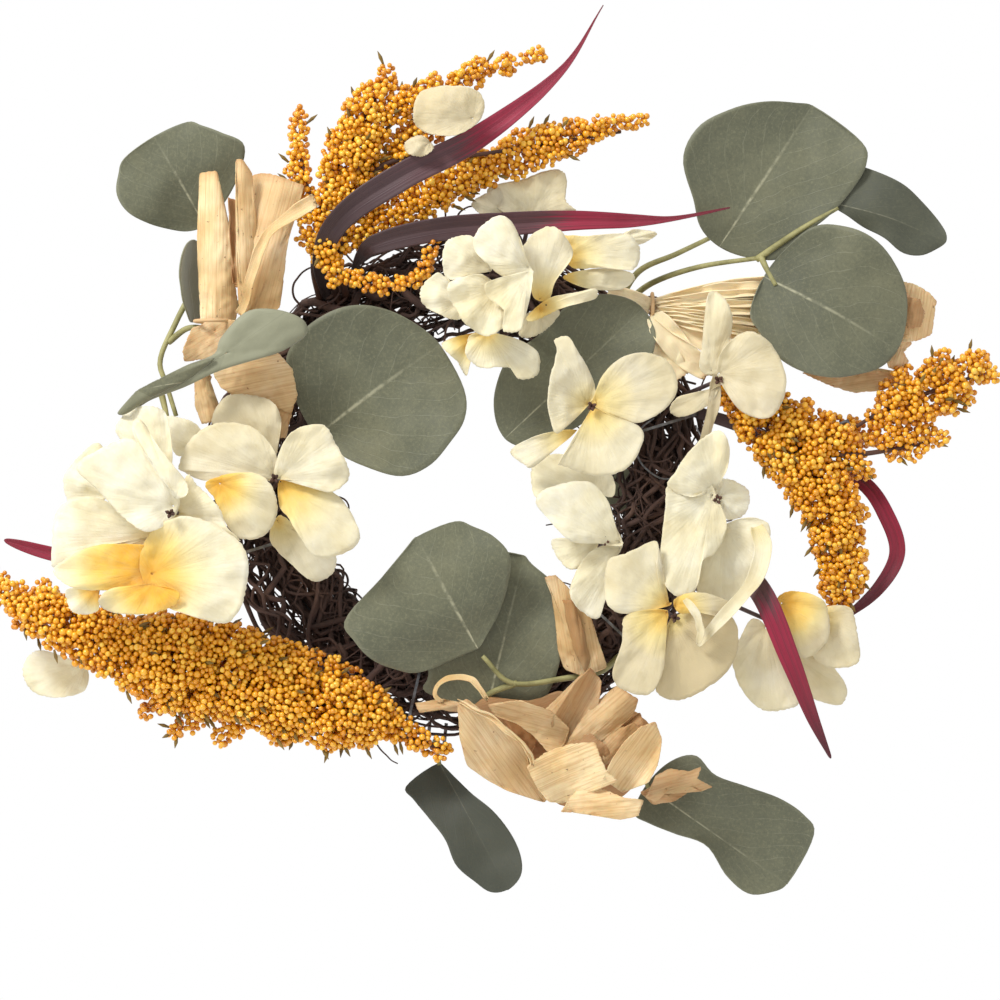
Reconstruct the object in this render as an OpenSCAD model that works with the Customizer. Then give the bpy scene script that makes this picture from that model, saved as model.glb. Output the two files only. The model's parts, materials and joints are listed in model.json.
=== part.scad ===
// Harvest door wreath, hung on a door. The door face is the plane Y = 0 and the wreath
// stands out from it toward -Y. Z is up. The origin is the nail, inside the top of the
// hanging loop. A point is written [right, up, lift]: right and up from the middle of the
// twig ring, lift out from the door.

/* [Twig ring] */
// distance from the middle of the ring to the middle of the twigs
ring_r = 90; // [70:1:120]
// width of the bundle of twigs, seen from the front
ring_w = 46; // [30:1:60]
// depth of the bundle of twigs, out from the door
ring_d = 37; // [25:1:50]
// lift of the middle of the bundle
ring_lift = 24; // [20:0.5:30]
// thickness of one bundled twig
twig_d = 6; // [3:0.5:8]
// thickness of the wire hoop inside the twigs
hoop_d = 3.2; // [2:0.1:5]
// number of wire bindings round the twigs
bindings = 6; // [4:1:12]

/* [Hanger] */
// distance from the nail down to the middle of the ring
drop = 108; // [95:1:130]
// thickness of the hanger wire, the staples and the posable stems
wire_d = 1.6; // [1:0.1:2.5]
// width of the hanging loop
loop_w = 16; // [10:1:30]
// height of the hinge of the hanging loop above the middle of the ring
hinge_up = 84; // [75:1:100]

/* [Leaves and flowers] */
// thickness of a fabric leaf
leaf_t = 0.8; // [0.4:0.1:2]
// thickness of a fabric petal
petal_t = 0.8; // [0.4:0.1:2]
// thickness of a grass blade or a husk strip
strip_t = 0.8; // [0.4:0.1:2]
// diameter of the knot in the middle of a flower
pip_d = 7; // [4:0.5:12]
// thickness of a eucalyptus stem
stem_d = 3.4; // [2:0.1:6]
// thickness of a leaf's stalk
leaf_stalk_d = 2.2; // [1:0.1:4]
// thickness of a flower's wire stalk
stalk_d = 2; // [1:0.1:3]

/* [Hidden] */
bark = [0.17, 0.12, 0.13];
wire_col = [0.35, 0.35, 0.36];
sage = [0.42, 0.47, 0.40];
khaki_col = [0.50, 0.48, 0.30];
petal_col = [0.90, 0.86, 0.74];
mustard = [0.66, 0.46, 0.16];
crimson = [0.45, 0.10, 0.15];
straw = [0.75, 0.60, 0.38];

function spot(p) = [p[0], -p[2], p[1] - drop];
function unit(v) = v / norm(v);
// across-direction of something flat that runs along d and shows its face to the front
function across(d, roll) = let (w = unit(cross([0, -1, 0], d)), n = cross(d, w))
    w*cos(roll) + n*sin(roll);
// lays a piece along the line from a to b, its width across, its face to the front
module along(a, b, roll = 0) {
    p = spot(a);
    d = unit(spot(b) - p);
    w = across(d, roll);
    n = cross(d, w);
    multmatrix([[d[0], w[0], n[0], p[0]], [d[1], w[1], n[1], p[1]],
                [d[2], w[2], n[2], p[2]], [0, 0, 0, 1]]) children();
}
module rod(pts, r) {
    for (i = [0:len(pts)-2]) hull() {
        translate(spot(pts[i])) sphere(r, $fn = 10);
        translate(spot(pts[i+1])) sphere(r, $fn = 10);
    }
}
// a round-ended petal, bowed out a little in its middle
module petal(a, b, w, roll = 0) {
    long = norm(b - a);
    bow = 0.06*long;
    module slice(x, lift, r) { translate([x, 0, lift]) cylinder(h = petal_t, r = r, $fn = 16); }
    along(a, b, roll) {
        hull() { slice(0, 0, w*0.13); slice(long*0.5, bow, w*0.46); }
        hull() { slice(long*0.5, bow, w*0.46); slice(max(long*0.55, long - w*0.34), 0, w*0.34); }
    }
}
// the middle of a flower, on a stalk that goes back into the twigs
module pip(a, foot) {
    translate(spot(a)) sphere(pip_d/2, $fn = 12);
    hull() {
        translate(spot(a)) sphere(stalk_d/2, $fn = 8);
        translate(spot(foot)) sphere(stalk_d/2, $fn = 8);
    }
}
// half of a round eucalyptus leaf, from its midrib out to one edge
module half_leaf(long, w) {
    n = 14;
    linear_extrude(leaf_t) polygon(concat([[0, -0.4]],
        [for (i = [0:n]) let (t = i/n) [long*t, 0.5 + (w/2 - 0.5)*pow(max(0, sin(180*pow(t, 0.85))), 0.62)]],
        [[long, -0.4]]));
}
module leaf(a, b, w, roll = 0, fold = 10) {
    long = norm(b - a);
    along(a, b, roll) {
        rotate([fold, 0, 0]) half_leaf(long, w);
        rotate([-fold, 0, 0]) mirror([0, 1, 0]) half_leaf(long, w);
    }
}
// a long narrow strip, wide in the middle
module strip(pts, w, blunt = 0.3) {
    n = len(pts) - 1;
    function wide(i) = w*(blunt + (1 - blunt)*sin(180*(i + 0.35)/(n + 0.7)));
    module rib(i) {
        j = i < n ? i : i - 1;
        along(pts[i], pts[i] + pts[j+1] - pts[j])
            translate([-0.2, -wide(i)/2, 0]) cube([0.4, wide(i), strip_t]);
    }
    for (i = [0:n-1]) hull() { rib(i); rib(i+1); }
}
// a crowded run of beads, as deep as it is half as wide
module cluster(pts, r) {
    n = len(pts) - 1;
    function fat(i) = r*(0.45 + 0.55*sin(180*(i + 0.3)/(n + 0.6)));
    module lump(p, k) { translate(spot(p)) scale([k, k*0.5, k]) sphere(1, $fn = 10); }
    for (i = [0:n-1]) {
        m = (pts[i] + pts[i+1])/2;
        hull() { lump(pts[i], fat(i)); lump(m, (fat(i) + fat(i+1))*0.46); }
        hull() { lump(m, (fat(i) + fat(i+1))*0.46); lump(pts[i+1], fat(i+1)); }
    }
}
// the knot that husks are pinched into, on a stalk that goes back into the twigs
module knot(a, foot, r) {
    translate(spot(a)) sphere(r, $fn = 16);
    rod([a, foot], stalk_d/2);
}
// where a hinge sits: x along the hinge line, z away from the middle of the ring
module hinge_at(p, angle) {
    translate(spot(p)) rotate([0, 90 - angle, 0]) children();
}
// a wire staple: the hinge pin and two legs pushed back into what it is fixed to
module staple(leg) {
    rotate([0, 90, 0]) cylinder(d = wire_d, h = 9, center = true, $fn = 32);
    for (x = [-4.5 + wire_d/2, 4.5 - wire_d/2])
        translate([x, 0, -leg]) cylinder(d = wire_d, h = leg, $fn = 32);
}
// the wire eye that turns on the staple's pin
module wire_eye() {
    difference() {
        rotate([0, 90, 0]) cylinder(r = wire_d*1.5, h = 4, center = true, $fn = 32);
        rotate([0, 90, 0]) cylinder(r = wire_d/2 + 0.3, h = 6, center = true, $fn = 32);
    }
}

// ---- the ring and its wires ----
module section(grow = 0) {
    for (i = [0:11]) translate([cos(30*i)*(ring_w - twig_d)/2, sin(30*i)*(ring_d - twig_d)/2])
        circle(d = twig_d + grow, $fn = 32);
    scale([1, (ring_d - twig_d)/(ring_w - twig_d)]) circle(d = ring_w - twig_d + grow, $fn = 48);
}
module twig_ring() color(bark) translate(spot([0, 0, ring_lift])) rotate([90, 0, 0])
    rotate_extrude($fn = 96) difference() {
        translate([ring_r, 0]) section();
        translate([ring_r, 0]) circle(d = hoop_d + 0.8, $fn = 32);
    }
module frame_wire() color(wire_col) translate(spot([0, 0, ring_lift])) rotate([90, 0, 0])
    rotate_extrude($fn = 96) translate([ring_r, 0]) circle(d = hoop_d, $fn = 32);
module binding_wires() color(wire_col)
    for (i = [0:bindings-1]) translate(spot([0, 0, ring_lift]))
        rotate([0, 360/bindings*i - 17, 0]) translate([ring_r, 0, 0]) linear_extrude(1.2, center = true)
            difference() {
                scale([1, (ring_d + 2.6)/(ring_w + 2.6)]) circle(d = ring_w + 2.6, $fn = 48);
                scale([1, (ring_d + 0.8)/(ring_w + 0.8)]) circle(d = ring_w + 0.8, $fn = 48);
            }

module bloom_1() color(petal_col) {
    pip([-126, -12, 84], [-106, -10, 34]);
    petal([-127, -12, 96], [-156, 11, 104], 26);
    petal([-134, -8, 84], [-171, 12, 84], 20);
    petal([-122, -1, 88], [-139, 27, 92], 11);
    petal([-128, 2, 80], [-143, 32, 80], 17);
    petal([-134, -15, 84], [-174, -26, 92], 25);
    petal([-130, -23, 90], [-171, -38, 98], 19);
    petal([-126, -17, 86], [-101, -61, 96], 33);
    petal([-130, -32, 82], [-149, -59, 80], 26);
    petal([-139, -37, 78], [-170, -52, 76], 14);
}

module bloom_2() color(petal_col) {
    pip([-84, 2, 70], [-84, 2, 34]);
    petal([-87, 5, 72], [-123, 18, 72], 22);
    petal([-86, 9, 66], [-97, 36, 56], 25);
    petal([-87, 1, 72], [-109, -21, 72], 24);
    petal([-83, 3, 72], [-50, 19, 80], 26);
    petal([-81, 0, 74], [-48, -27, 84], 31);
    petal([-80, -15, 64], [-62, -42, 62], 25);
    petal([-102, 13, 64], [-127, 27, 62], 11);
}

module bloom_3() color(petal_col) {
    pip([9, 84, 78], [9, 84, 34]);
    petal([10, 94, 76], [17, 117, 74], 17);
    petal([11, 87, 80], [19, 109, 84], 26);
    petal([8, 87, 78], [-7, 106, 80], 19);
    petal([8, 85, 78], [-17, 80, 82], 26);
    petal([9, 84, 84], [6, 63, 94], 24);
    petal([11, 84, 82], [29, 70, 92], 20);
    petal([12, 74, 76], [19, 48, 76], 30);
    petal([8, 74, 72], [-5, 49, 66], 15);
}

module bloom_4() color(petal_col) {
    pip([39, 81, 66], [39, 81, 34]);
    petal([39, 82, 68], [35, 111, 74], 20);
    petal([41, 85, 66], [76, 104, 70], 17);
    petal([43, 84, 62], [77, 91, 62], 8);
    petal([39, 80, 72], [57, 79, 78], 10);
    petal([39, 79, 70], [32, 66, 74], 15);
}

module bloom_5() color(petal_col) {
    pip([53, 35, 82], [76, 24, 34]);
    petal([50, 38, 84], [45, 62, 90], 21);
    petal([56, 37, 86], [91, 43, 92], 27);
    petal([53, 32, 86], [60, 6, 94], 32);
    petal([49, 32, 80], [24, 16, 80], 19);
}

module bloom_6() color(petal_col) {
    pip([46, -15, 68], [72, -24, 34]);
    petal([46, -12, 64], [46, 13, 64], 29);
    petal([39, -15, 74], [69, -9, 80], 24);
    petal([47, -17, 70], [46, -40, 72], 18);
    petal([49, -19, 66], [62, -56, 66], 22);
}

module bloom_7() color(petal_col) {
    pip([108, 44, 64], [98, 40, 34]);
    petal([108, 47, 62], [114, 83, 66], 14);
    petal([110, 44, 64], [137, 59, 72], 29);
    petal([105, 43, 64], [90, 35, 66], 10);
    petal([108, 41, 62], [108, 17, 66], 8);
}

module bloom_8() color(petal_col) {
    pip([109, -7, 70], [106, -7, 34]);
    petal([107, -5, 72], [101, 21, 76], 23);
    petal([107, -10, 70], [95, -47, 72], 29);
    petal([111, -6, 74], [124, -3, 78], 18);
    petal([111, -10, 66], [122, -49, 66], 27);
    petal([132, -15, 60], [107, -70, 76], 6, 70);
}

module bloom_9() color(petal_col) {
    pip([91, -57, 88], [90, -56, 34]);
    petal([88, -55, 88], [68, -28, 90], 24);
    petal([89, -59, 88], [72, -90, 92], 25);
    petal([92, -59, 90], [114, -87, 98], 32);
    petal([93, -55, 86], [116, -49, 86], 12);
}

module bloom_10() color(petal_col) {
    pip([27, 123, 52], [23, 104, 34]);
    petal([25, 124, 52], [6, 133, 52], 19);
    petal([29, 125, 52], [48, 133, 52], 19);
    petal([27, 126, 50], [26, 141, 48], 18);
}

module bloom_11() color(petal_col) {
    pip([-5, 156, 80], [-25, 168, 60]);
    petal([-7, 156, 80], [-19, 167, 82], 19);
    petal([-3, 156, 80], [8, 165, 82], 19);
    petal([-8, 153, 78], [-23, 147, 76], 9);
}

module bloom_12() color(petal_col) {
    pip([150, -70, 66], [96, -45, 34]);
    petal([148, -71, 68], [125, -93, 72], 23);
    petal([148, -67, 68], [140, -48, 74], 21);
    petal([151, -73, 64], [165, -93, 62], 18);
    petal([152, -68, 66], [167, -53, 70], 18);
}

module bloom_13() color(petal_col) {
    pip([-170, -76, 28], [-97, -43, 34]);
    petal([-172, -76, 28], [-196, -83, 28], 19);
    petal([-172, -79, 28], [-182, -93, 26], 13);
}

module leaf_1() color(sage) {
    leaf([-116, 118, 34], [-139, 155, 46], 50, 0, 10);
    rod([[-72, 72, 30], [-116, 118, 34]], leaf_stalk_d/2);
}

module leaf_2() color(sage) {
    leaf([-119, 73, 46], [-120, 109, 50], 11, 60, 0);
    rod([[-86, 68, 36], [-119, 73, 46]], leaf_stalk_d/2);
}

module leaf_3() color(sage) {
    leaf([-70, 73, 72], [-147, 35, 84], 28, 0, 14);
    rod([[-66, 70, 34], [-70, 73, 72]], leaf_stalk_d/2);
}

module leaf_4() color(sage) {
    leaf([-59, 26, 50], [-10, 60, 58], 57, 0, 10);
    rod([[-74, 28, 34], [-59, 26, 50]], leaf_stalk_d/2);
}

module leaf_5() color(sage) {
    leaf([18, 27, 50], [78, 74, 56], 37, 0, 10);
    rod([[30, 68, 34], [18, 27, 50]], leaf_stalk_d/2);
}

module leaf_6() color(sage) {
    leaf([114, 115, 46], [156, 166, 58], 51, 0, 12);
    rod([[108, 109, 45], [114, 115, 46]], leaf_stalk_d/2);
}

module leaf_7() color(sage) {
    leaf([162, 124, 62], [209, 111, 64], 27, 0, 18);
    rod([[136, 101, 51], [150, 113, 59], [162, 124, 62]], leaf_stalk_d/2);
}

module leaf_8() color(sage) {
    leaf([136, 94, 54], [196, 62, 62], 55, 0, 10);
    rod([[134, 99, 52], [136, 94, 54]], leaf_stalk_d/2);
}

module leaf_9() color(sage) {
    leaf([8, -70, 58], [-22, -20, 66], 54, 0, 10);
    rod([[9, -75, 57.6], [8, -70, 58]], leaf_stalk_d/2);
}

module leaf_10() color(sage) {
    leaf([10, -95, 47], [25, -33, 50], 52, 0, 8);
    rod([[10, -90, 34], [10, -95, 47]], leaf_stalk_d/2);
}

module leaf_13() color(sage) {
    leaf([87, -8, 2], [63, 2, 3], 23, 0, 0);
    rod([[86, -8, 8], [87, -8, 2]], leaf_stalk_d/2);
}

module eucalyptus_stem_1() color(khaki_col)
    rod([[-87, 68, 28], [-107, 83, 30], [-126, 76, 34], [-135, 60, 40], [-133, 45, 44],
        [-126, 31, 46]], stem_d/2);

module eucalyptus_stem_2() color(khaki_col)
    rod([[70, 83, 30], [79, 96, 38], [95, 102, 44], [112, 112, 46]], stem_d/2);

module eucalyptus_stem_3() color(khaki_col) rod([[73, 83, 22], [85, 91, 30], [106, 96, 42],
        [134, 100, 52]], stem_d/2);

module eucalyptus_stem_4() color(khaki_col)
    rod([[70, -75, 36], [61, -80, 52], [44, -85, 54], [22, -86, 56], [9, -74, 58]], stem_d/2);

module blade_1() color(crimson)
    strip([[-63, 83, 34], [-62, 99, 54], [-53, 116, 66], [-25, 131, 71], [6, 151, 69],
        [43, 181, 65], [62, 210, 60]], 11, 0.15);

module blade_2() color(crimson)
    strip([[-49, 94, 34], [-40, 104, 54], [-31, 108, 60], [-9, 112, 62], [43, 114, 60],
        [78, 117, 58], [117, 123, 56]], 11, 0.15);

module blade_3() color(crimson)
    strip([[-100, -20, 34], [-139, -38, 44], [-178, -31, 48], [-202, -24, 48]], 6, 0.15);

module blade_4() color(crimson)
    strip([[98, 34, 34], [126, 26, 38], [152, 13, 42], [176, 2, 46], [187, -13, 50],
        [190, -29, 52], [183, -44, 52], [170, -56, 50]], 8, 0.15);

module blade_5() color(crimson)
    strip([[102, -24, 34], [118, -31, 57], [131, -44, 79], [144, -74, 83], [154, -98, 76],
        [161, -116, 68]], 9, 0.15);

module berries_1() color(mustard) {
    rod([[-59, 85, 34], [-62, 104, 52], [-49, 139, 60]], stem_d/2);
    cluster([[-63, 102, 48], [-72, 130, 54], [-73, 162, 56]], 5.5);
    cluster([[-59, 109, 50], [-49, 139, 60], [-36, 165, 62], [-30, 182, 60]], 11);
    cluster([[-27, 169, 60], [-5, 179, 60], [17, 184, 58], [34, 187, 56]], 4.5);
    cluster([[-5, 141, 60], [25, 145, 60], [52, 152, 58], [76, 157, 56]], 9.5);
    cluster([[-56, 109, 54], [-32, 120, 58], [-15, 124, 58]], 4);
}

module berries_2() color(mustard) {
    rod([[102, 37, 34], [122, 33, 54]], stem_d/2);
    cluster([[116, 41, 51], [135, 20, 58], [157, 2, 60], [165, -33, 56], [167, -63, 54]], 10);
    cluster([[148, 12, 60], [156, 17, 58], [163, 20, 57]], 7.5);
    cluster([[171, 9, 58], [193, 13, 54], [210, 20, 52]], 3);
}

module berries_3() color(mustard) {
    rod([[-32, -96, 34], [-40, -96, 57]], stem_d/2);
    cluster([[-203, -50, 48], [-159, -72, 56], [-115, -84, 58], [-71, -90, 58], [-31, -100, 57]], 18.5);
    cluster([[-29, -103, 54], [-14, -111, 52], [-3, -116, 50]], 3);
}

module husk_1() color(straw) {
    knot([-111, 63, 63], [-95, 60, 34], 6.5);
    strip([[-113, 138, 56], [-109, 112, 58], [-108, 88, 60], [-109, 66, 63]], 13);
    strip([[-85, 138, 60], [-87, 108, 62], [-93, 84, 63], [-108, 65, 65]], 23);
    strip([[-62, 125, 67], [-81, 109, 69], [-92, 90, 70], [-108, 65, 67]], 9);
    strip([[-111, 62, 62], [-101, 44, 64], [-88, 33, 63], [-75, 34, 60]], 15);
    strip([[-112, 61, 60], [-115, 42, 58], [-112, 27, 55]], 10);
}

module husk_2() color(straw) {
    knot([83, 77, 50], [70, 73, 34], 5);
    strip([[82, 78, 50], [104, 79, 51], [132, 77, 50], [162, 82, 49]], 24);
    strip([[83, 76, 50], [140, 73, 48], [175, 74, 48], [206, 78, 46]], 25);
    strip([[84, 75, 49], [140, 60, 47], [171, 54, 47], [196, 59, 45]], 16);
    strip([[83, 76, 51], [94, 55, 52], [104, 48, 52]], 18);
}

module husk_3() color(straw) {
    knot([41, -97, 60], [42, -91, 34], 7);
    strip([[37, -97, 60], [17, -99, 68], [2, -111, 68], [11, -138, 62]], 26);
    strip([[41, -99, 62], [47, -122, 72], [65, -128, 70]], 30);
    strip([[43, -94, 60], [60, -107, 66], [78, -116, 66], [83, -134, 60]], 23);
    strip([[43, -101, 58], [61, -136, 60], [78, -140, 60]], 16);
    strip([[44, -95, 60], [52, -72, 60], [54, -54, 56]], 21);
    strip([[40, -94, 58], [3, -88, 56], [-10, -94, 54], [-12, -106, 52]], 11);
    strip([[46, -100, 58], [82, -128, 62], [110, -132, 60]], 16);
}

// ---- posable wired stems: each turns on a staple, so it can be bent out from the door ----
stem_r = ring_r + ring_w/2 + 4;
leaf_11_a = -96;
leaf_12_a = -56;
sprig_a = 22;
sprig_at = [171, 25, 56];
function rim(a) = [stem_r*cos(a), stem_r*sin(a), ring_lift];
module posing_staples() color(wire_col) {
    hinge_at(rim(leaf_11_a), leaf_11_a) staple(10);
    hinge_at(rim(leaf_12_a), leaf_12_a) staple(10);
    hinge_at(sprig_at, sprig_a) staple(10);
}
module posable_leaf(a, b, t, w) {
    p = rim(a);
    q = b - p;
    hinge_at(p, a) wire_eye();
    rod([p + q*(wire_d*1.3/norm(q)), b + (t - b)*0.1 + [0, 0, 0.6]], wire_d/2);
    leaf(b, t, w, 0, 8);
}
module leaf_11() color(sage) posable_leaf(leaf_11_a, [-12, -127, 32], [10, -173, 48], 46);
module leaf_12() color(sage) posable_leaf(leaf_12_a, [93, -138, 34], [145, -165, 44], 52);
module berry_sprig() color(mustard) {
    hinge_at(sprig_at, sprig_a) wire_eye();
    rod([sprig_at + [2, 0.8, 0], [179, 29, 56]], wire_d/2);
    cluster([[179, 29, 56], [192, 36, 55], [214, 44, 53], [235, 52, 52]], 9);
}

// ---- the hanger: a staple in the back of the twigs and a loop of wire that turns on it ----
module hanger_eye() color(wire_col) translate(spot([0, hinge_up, 2.6])) rotate([-90, 0, 0])
    mirror([0, 0, 1]) mirror([0, 0, 1]) staple(10);
module hanger_loop() color(wire_col) translate(spot([0, hinge_up, 2.6])) {
    wire_eye();
    top = drop - hinge_up - loop_w/2 + wire_d/2;
    translate([0, 0, wire_d*1.5 - 0.4]) cylinder(d = wire_d, h = top - loop_w/2 - 1, $fn = 32);
    translate([0, 0, top]) rotate([90, 0, 0])
        rotate_extrude($fn = 64) translate([loop_w/2 - wire_d/2, 0]) circle(d = wire_d, $fn = 32);
}

// ---- ties round the pinched husks ----
module tie(a, b, r) color(straw) along(a, b) rotate([0, 90, 0])
    rotate_extrude($fn = 48) translate([r, 0]) circle(d = 1.6, $fn = 24);
module husk_tie_1() color(straw) tie([-109, 72, 64], [-109, 60, 64], 8);
module husk_tie_2() color(straw) tie([84, 79, 50], [92, 79, 50], 6);

twig_ring();
frame_wire();
binding_wires();
bloom_1();
bloom_2();
bloom_3();
bloom_4();
bloom_5();
bloom_6();
bloom_7();
bloom_8();
bloom_9();
bloom_10();
bloom_11();
bloom_12();
bloom_13();
leaf_1();
leaf_2();
leaf_3();
leaf_4();
leaf_5();
leaf_6();
leaf_7();
leaf_8();
leaf_9();
leaf_10();
leaf_13();
eucalyptus_stem_1();
eucalyptus_stem_2();
eucalyptus_stem_3();
eucalyptus_stem_4();
blade_1();
blade_2();
blade_3();
blade_4();
blade_5();
berries_1();
berries_2();
berries_3();
husk_1();
husk_2();
husk_3();
posing_staples();
leaf_11();
leaf_12();
berry_sprig();
hanger_eye();
hanger_loop();
husk_tie_1();
husk_tie_2();
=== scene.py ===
# %% [markdown]
# # A harvest door wreath
# A dark twig ring is dressed with grey-green cloth leaves, cream cloth flowers, sprays of
# small mustard berries, crimson grass blades and bows of dry husk. The solids made for
# measuring are loaded first, and every finished piece is placed from them.

# %% Load the measured frame
import json
import math
import random
import bpy
import numpy as np
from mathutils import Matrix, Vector, noise

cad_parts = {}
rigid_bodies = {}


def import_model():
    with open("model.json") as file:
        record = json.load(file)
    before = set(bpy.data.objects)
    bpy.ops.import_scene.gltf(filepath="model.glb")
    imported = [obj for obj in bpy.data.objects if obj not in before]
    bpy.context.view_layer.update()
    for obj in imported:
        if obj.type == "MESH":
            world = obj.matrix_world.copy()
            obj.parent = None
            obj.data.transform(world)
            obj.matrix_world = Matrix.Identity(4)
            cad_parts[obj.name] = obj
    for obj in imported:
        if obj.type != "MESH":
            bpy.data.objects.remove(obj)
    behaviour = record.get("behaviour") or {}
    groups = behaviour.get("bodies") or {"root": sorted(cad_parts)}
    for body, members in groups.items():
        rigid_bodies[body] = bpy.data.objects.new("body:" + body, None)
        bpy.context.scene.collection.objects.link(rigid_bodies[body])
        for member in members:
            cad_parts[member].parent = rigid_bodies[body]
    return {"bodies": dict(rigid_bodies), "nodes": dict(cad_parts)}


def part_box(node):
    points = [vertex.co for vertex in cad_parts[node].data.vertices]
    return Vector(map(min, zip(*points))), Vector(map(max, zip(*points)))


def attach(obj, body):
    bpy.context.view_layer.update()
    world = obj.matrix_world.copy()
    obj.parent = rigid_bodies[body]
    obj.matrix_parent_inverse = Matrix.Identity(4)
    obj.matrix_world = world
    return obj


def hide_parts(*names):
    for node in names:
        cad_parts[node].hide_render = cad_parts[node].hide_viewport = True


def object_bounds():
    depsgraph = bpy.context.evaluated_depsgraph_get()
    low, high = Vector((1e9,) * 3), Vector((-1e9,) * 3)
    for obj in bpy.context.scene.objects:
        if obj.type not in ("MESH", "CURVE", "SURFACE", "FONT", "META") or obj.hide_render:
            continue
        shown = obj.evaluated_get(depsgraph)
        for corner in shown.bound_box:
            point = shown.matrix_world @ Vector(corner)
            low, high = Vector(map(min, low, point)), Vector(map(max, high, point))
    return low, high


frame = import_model()
cad_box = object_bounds()

# %% [markdown]
# ## Where things are
# Someone making a wreath thinks of it as a clock face: so far right of the middle, so far
# up, and so far out from the door. spot() turns those three millimetre sizes into a point
# in metres, measured from the middle of the twig ring.

# %% Find the middle of the ring
ring_low, ring_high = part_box("twig_ring")
ring_mid = (ring_low + ring_high) / 2
MM = 0.001


def spot(p):
    return np.array([ring_mid.x + p[0] * MM, -p[2] * MM, ring_mid.z + p[1] * MM])


print("middle of the ring:", [round(c, 4) for c in ring_mid])

# %% [markdown]
# ## The camera
# A long lens stands a metre and a half in front of the door, a little to the right of the
# middle, so the wreath is seen almost without perspective.

# %% Place the camera
camera = bpy.data.objects.new("camera", bpy.data.cameras.new("camera"))
bpy.context.scene.collection.objects.link(camera)
camera_distance = 1.5
camera_right, camera_down = 0.01665, 0.0063
camera.data.lens = 118
camera.data.sensor_width = 36
camera.location = (ring_mid.x + camera_right, -camera_distance, ring_mid.z - camera_down)
camera.rotation_euler = (math.radians(90), 0, 0)
bpy.context.scene.camera = camera
print("camera at", [round(c, 3) for c in camera.location])

# %% [markdown]
# ## Making a mesh from numbers
# Almost everything here is a strip or a tube, which is a grid of points. build() makes one
# object from many such grids. It also stores what the finishes use: where each point lies
# along and across its piece (a UV map), a tint number for each piece, and a shade number
# for each piece that paints the piece darker as painted shade (on the petals partly their
# beige cloth).

# %% Helpers that build meshes
def build(name, grids, material, body="wreath", replaces=(), smooth=True):
    verts, faces, lay, tint, shade, base = [], [], [], [], [], 0
    for g in grids:
        p, closed = g["p"], g.get("closed", False)
        rows, cols = p.shape[:2]
        i, j = np.meshgrid(np.arange(rows - 1), np.arange(cols if closed else cols - 1),
                           indexing="ij")
        k = (j + 1) % cols
        quad = np.stack([i * cols + j, (i + 1) * cols + j, (i + 1) * cols + k, i * cols + k], -1)
        verts.append(p.reshape(-1, 3))
        faces.append(quad.reshape(-1, 4) + base)
        u, v = g["lay"] if "lay" in g else np.meshgrid(np.linspace(0, 1, rows), np.linspace(0, 1, cols),
                                                       indexing="ij")
        lay.append(np.stack([u, v], -1).reshape(-1, 2))
        tint.append(np.full(rows * cols, g.get("tint", 0.5)))
        shade.append(np.full(rows * cols, g.get("shade", 0.0)))
        base += rows * cols
    return finish_mesh(name, np.concatenate(verts), np.concatenate(faces),
                       np.concatenate(lay), np.concatenate(tint),
                       material, body, replaces, smooth, np.concatenate(shade))


def finish_mesh(name, verts, faces, lay, tint, material, body, replaces, smooth=True, shade=None):
    mesh = bpy.data.meshes.new(name)
    mesh.vertices.add(len(verts))
    mesh.vertices.foreach_set("co", verts.astype(np.float32).ravel())
    size = faces.shape[1]
    mesh.loops.add(faces.size)
    mesh.loops.foreach_set("vertex_index", faces.astype(np.int32).ravel())
    mesh.polygons.add(len(faces))
    mesh.polygons.foreach_set("loop_start", np.arange(len(faces), dtype=np.int32) * size)
    mesh.update(calc_edges=True)
    uv = mesh.uv_layers.new(name="lay")
    uv.data.foreach_set("uv", lay[faces.ravel()].astype(np.float32).ravel())
    mesh.attributes.new("tint", "FLOAT", "POINT").data.foreach_set("value", tint.astype(np.float32))
    if shade is not None:
        mesh.attributes.new("shade", "FLOAT", "POINT").data.foreach_set("value", shade.astype(np.float32))
    mesh.polygons.foreach_set("use_smooth", np.full(len(faces), smooth))
    mesh.materials.append(material)
    mesh.validate()
    obj = bpy.data.objects.new(name, mesh)
    bpy.context.scene.collection.objects.link(obj)
    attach(obj, body)
    if replaces:
        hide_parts(*replaces)
    return obj


def thicken(obj, thickness_mm):
    solid = obj.modifiers.new("thickness", "SOLIDIFY")
    solid.thickness = thickness_mm * MM
    solid.offset = 0
    return obj


print("mesh helpers ready")

# %% [markdown]
# ## Smooth lines
# A stem or a strip is drawn with a handful of points. flow() passes a smooth line through
# them, the way a springy batten bends through pegs.

# %% Draw smooth lines through points
def flow(points, count):
    pts = np.array(points, float)
    if len(pts) == 2:
        return pts[0] + (pts[1] - pts[0]) * np.linspace(0, 1, count)[:, None]
    ends = np.vstack([2 * pts[0] - pts[1], pts, 2 * pts[-1] - pts[-2]])
    t = np.linspace(0, len(pts) - 1 - 1e-9, count)
    k = t.astype(int)
    f = (t - k)[:, None]
    a, b, c, d = ends[k], ends[k + 1], ends[k + 2], ends[k + 3]
    return 0.5 * (2 * b + (c - a) * f + (2 * a - 5 * b + 4 * c - d) * f**2
                  + (3 * b - a - 3 * c + d) * f**3)


def unit(v):
    return v / np.maximum(np.linalg.norm(v, axis=-1, keepdims=True), 1e-12)


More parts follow.
